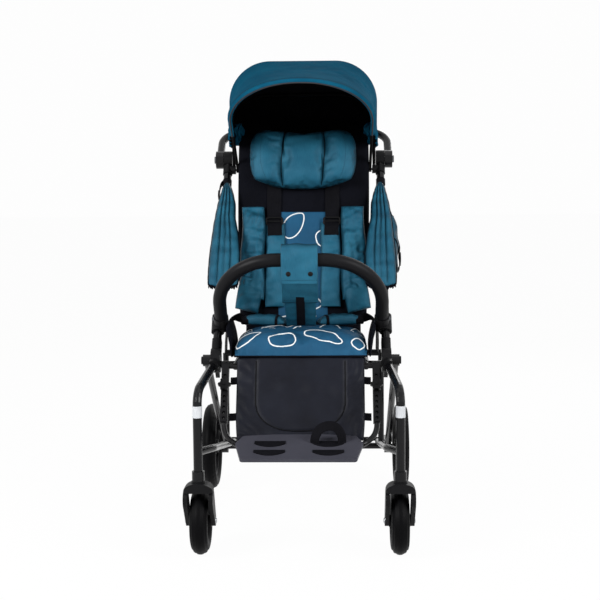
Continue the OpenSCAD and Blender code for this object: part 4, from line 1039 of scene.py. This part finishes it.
def wrapped(hoop_name, s, way, degrees):
    """Rows of cloth turned round a bow, from its outer side towards a way, by angles in degrees."""
    axis = hoop_line(hoop_name, s, 0.0)
    outward = unit(hoop_line(hoop_name, s, over_bow) - axis)
    angle = np.radians(degrees)[:, None, None]
    return axis + over_bow * (np.cos(angle) * outward + np.sin(angle) * way)


s = np.linspace(-1.0, 1.0, 121)
front_line, middle_line, rear_line = (hoop_line(name, s, over_bow) for name in hoops)
front_rows = np.linspace(0.0, 1.0, 34)
back_rows = np.linspace(0.0, 1.0, 26)[1:]
hood_rows = np.concatenate([between(front_line, middle_line, front_rows),
                            between(middle_line, rear_line, back_rows)])
pull = np.sin(np.pi * np.concatenate([front_rows, back_rows]))[:, None]
sweep = np.concatenate([front_rows, 1 + 0.7 * back_rows])[:, None]
lower = np.clip(np.abs(s)[None, :] - 0.55, 0.0, 0.45) / 0.45
creases = (0.0016 * waves(0.5 * s[None, :] + 0 * sweep, 0.42 * sweep + 0 * s, 0.06, 81) * (0.35 + lower)
           + 0.004 * np.sin(24 * sweep + 5 * s) * lower ** 2 * (sweep > 0.45))
sag = -0.007 * pull * (1 - 0.6 * lower) + 0.006 * pull * lower
front_slope, rear_slope = (math.radians(hoops[name][0]) for name in ("front", "rear"))
forward = np.array([0.0, -math.sin(front_slope), -math.cos(front_slope)])
backward = np.array([0.0, math.sin(rear_slope), math.cos(rear_slope)])
hem_rows = wrapped("front", s, forward, np.linspace(125.0, 12.0, 9))
turned_rows = wrapped("rear", s, backward, np.linspace(18.0, 100.0, 6))
hood_rows = hood_rows + (pull * creases + sag)[..., None] * unit(hood_rows - hood_pivot)
hood_grid = np.concatenate([hem_rows, hood_rows, turned_rows])
hood = surface("canopy_sheet", hood_grid, hood_cloth)
wall(hood, hood_wall, offset=-1.0, lining=coated_lining)
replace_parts(hood, "canopy_front_cover", "canopy_rear_cover")
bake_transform(hood)
brim_row, stitch_row = 3, 10.5
brim = piping("canopy_brim_binding", hood_grid[brim_row], radius=0.0021, material=brim_binding, closed=False)
wear(brim, "canopy_front")
brim_line = on_cloth(hood_grid, np.linspace(0.02, 0.98, 260), stitch_row / (len(hood_grid) - 1), 0.0004)
stitches("canopy_brim_stitches", *brim_line, "canopy_front")
panel_top = hoop_line("rear", np.linspace(-0.86, 0.86, 60), -0.0005) + 0.0076 * backward
panel_up = np.array([0.0, -math.cos(rear_slope), math.sin(rear_slope)])
panel_foot_height = 0.105
panel_foot = panel_top - ((panel_top - hood_pivot) @ panel_up - panel_foot_height)[:, None] * panel_up
part = np.linspace(0.0, 1.0, 30)
panel_grid = between(panel_foot, panel_top, part)
drift = 0.002 + 0.0025 * waves(panel_grid[..., 0], panel_grid[..., 2], 0.07, 85)
panel_grid = panel_grid + (drift * np.sin(np.pi * part)[:, None])[..., None] * backward
back_panel = surface("canopy_back_panel", panel_grid[:, ::-1], hood_cloth)
wall(back_panel, hood_wall, lining=coated_lining)
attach(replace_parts(back_panel, "canopy_rear_cover"), "chassis")


# Canopy gathers: the slack cloth at the foot of each side, drawn into folds between the rear bows above the
# clamp. Each is a closed bunch that hangs from the sheet.
gather_x, gather_y, gather_foot, gather_tall = 0.189, 0.27, 1.008, 0.064
for side, sign in sides:
    angle, part = np.meshgrid(turns(72), np.linspace(0.0, 1.0, 26))
    swell = np.sqrt(np.clip(1 - (2 * part - 1) ** 4, 0.0, 1.0)) * (0.75 + 0.25 * part) + 0.06
    fold = 1 + 0.16 * np.sin(6 * angle + 3.5 * part + sign) + 0.07 * np.sin(11 * angle - 5 * part)
    droop = 0.004 * np.sin(9 * part + 2 * np.sin(angle))
    x = sign * (gather_x - 0.004 * part) + 0.0135 * swell * fold * np.cos(sign * angle) + sign * droop
    y = gather_y + 0.006 * part + 0.024 * swell * fold * np.sin(sign * angle)
    z = gather_foot + gather_tall * part + 0.004 * np.sin(3 * angle + 4 * part) * swell
    gather = surface("canopy_gather_" + side, in_room(x, y, z), hood_cloth, ring=True, caps=True)
    wear(gather, "chassis")


# Calf panel: black coated cloth over thin foam between the leg hangers, with a sewn tongue shape. Webbing
# tabs tie it to the hangers, and its upper edge is sewn to the front of the seat. On the leg rest, points lie
# across, down along it and in front of it.
leg_out = np.array([0.0, -0.866, 0.5])
on_leg = plane(np.array([0.0, -0.185, 0.4395]), rightward, np.array([0.0, -0.5, -0.866]), leg_out)
coated_cloth = woven("black_coated_cloth", "#1b1d26", "#12131a", 1.5, 0.42, 0.0, heather=0.1, bump=0.25,
                     shine=0.1)
seam_thread = finish("black_sewing_thread", "#0b0b0d", "#070708", 0.6, 0.05, 0.8, 0.2)
calf_half, calf_middle, calf_long, calf_sink = 0.161, 0.087, 0.109, 0.009
tongue_half, tongue_turn, tongue_deep, round_power = 0.112, 0.088, 0.085, 2.5
u, v = square(90, 72)
x = calf_half * u * (1 - 0.03 * np.clip(-v, 0, 1) ** 3)
down = calf_middle - calf_long * v * np.sqrt(1 - 0.04 * u * u)
lie = np.interp(down, [-0.022, 0.0, 0.03, 0.07, 0.2], [0.0145, 0.012, 0.0095, 0.008, 0.006])
bowl = np.clip((down - tongue_turn) / tongue_deep, 0.0, None)
border = 0.1 * ((np.abs(x / tongue_half) ** round_power + bowl ** round_power) ** (1 / round_power) - 1)
full = fullness(u, v, 9)
outside = np.clip(border / 0.02, 0, 1)
slack = (0.0014 * np.sin(190 * (down + 0.8 * np.abs(x)) + 4 * waves(x, down, 0.09, 91)) * outside
         + 0.0012 * waves(0.4 * x, down, 0.05, 93) * np.clip((0.03 - down) / 0.05, 0, 1)
         + 0.0009 * waves(x, down, 0.05, 95))
swell = 0.009 * full ** 0.6 - 0.0034 * bell(border, 0.0028) * full + slack * full
calf, calf_face = pad("calf_panel_cover", on_leg, x, down, lie - calf_sink, swell, 0.006 * full, coated_cloth)
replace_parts(calf, "calf_panel")
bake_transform(calf)
angle = np.linspace(0.0, np.pi, 120)
round_x = np.sign(np.cos(angle)) * np.abs(np.cos(angle)) ** (2 / round_power)
round_down = tongue_turn + tongue_deep * np.sin(angle) ** (2 / round_power)
side_down = np.linspace(-0.012, tongue_turn, 31)[:-1]
side_x = np.ones(len(side_down))
tongue_x = tongue_half * np.concatenate([side_x, round_x, -side_x])
tongue_down = np.concatenate([side_down, round_down, side_down[::-1]])
tongue_u = share(tongue_x, x[len(x) // 2])
tongue_v = share(-tongue_down, -down[:, down.shape[1] // 2])
tongue_line = on_cloth(calf_face, tongue_u, tongue_v, 0.0006)[0]
tongue = piping("calf_panel_seam", tongue_line, radius=0.0013, material=seam_thread, closed=False)
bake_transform(tongue)
for side, sign in sides:
    for number, tab_down in enumerate((0.037, 0.133)):
        tab_line = on_leg(sign * np.array([0.148, 0.158, 0.168, 0.177]), tab_down,
                          [-0.001, -0.003, -0.006, -0.007])
        strap(f"calf_tab_{number}_{side}", tab_line, leg_out, "leg_rest", width=0.02, count=16)


# Foot strap: a heel loop of broad webbing that comes up out of a slot on the right of the footplate. Four
# flat bands of the same webbing lie over the plate's slots. On the plate, points lie across, ahead and up.
plate_tilt = math.radians(14)
plate_at = np.array([0.0, -0.3251, 0.2629])
plate_ahead = np.array([0.0, -math.cos(plate_tilt), -math.sin(plate_tilt)])
plate_up = np.array([0.0, -math.sin(plate_tilt), math.cos(plate_tilt)])
on_plate = plane(plate_at, rightward, plate_ahead, plate_up)
arch = np.array([(0.038, 0.028, 0.019), (0.038, 0.022, 0.034), (0.048, 0.012, 0.052), (0.07, 0.006, 0.06),
                 (0.09, 0.008, 0.055), (0.102, 0.018, 0.038), (0.102, 0.028, 0.019)])
arch_line = smooth_path(on_plate(*arch.T), 48)
axes = frames(arch_line, arch_line - on_plate(0.07, -0.035, 0.02))
heel_band = carry(arch_line, *axes, flat_profile(0.024, 0.0024))
heel_loop = surface("foot_strap", heel_band, webbing, ring=True, caps=True)
wear(heel_loop, "footplate")
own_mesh(heel_loop)
slot_x, slot_half, slot_round, band_height = 0.07, 0.0375, 0.074, 0.0229
angle = turns(16)[None, :]
across = np.linspace(-slot_half, slot_half, 25)[:, None]
bow = slot_round - np.sqrt(slot_round ** 2 - across ** 2)
round_ahead, round_up = (np.sign(wave) * np.abs(wave) ** 0.4 for wave in (np.cos(angle), np.sin(angle)))
for side, sign in sides:
    for row, slot_ahead, deep in (("rear", 0.028, 0.02), ("front", 0.074, 0.018)):
        band_ahead = slot_ahead + 0.001 - 0.8 * bow + round_ahead * (deep + 0.01 - 1.6 * bow) / 2
        band = on_plate(sign * slot_x + across, band_ahead, band_height + 0.0013 * round_up)
        band = surface(f"foot_band_{row}_{side}", band, webbing, ring=True, caps=True)
        wear(band, "footplate")


# The outer box of the dressed part, in metres.
low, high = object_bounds()
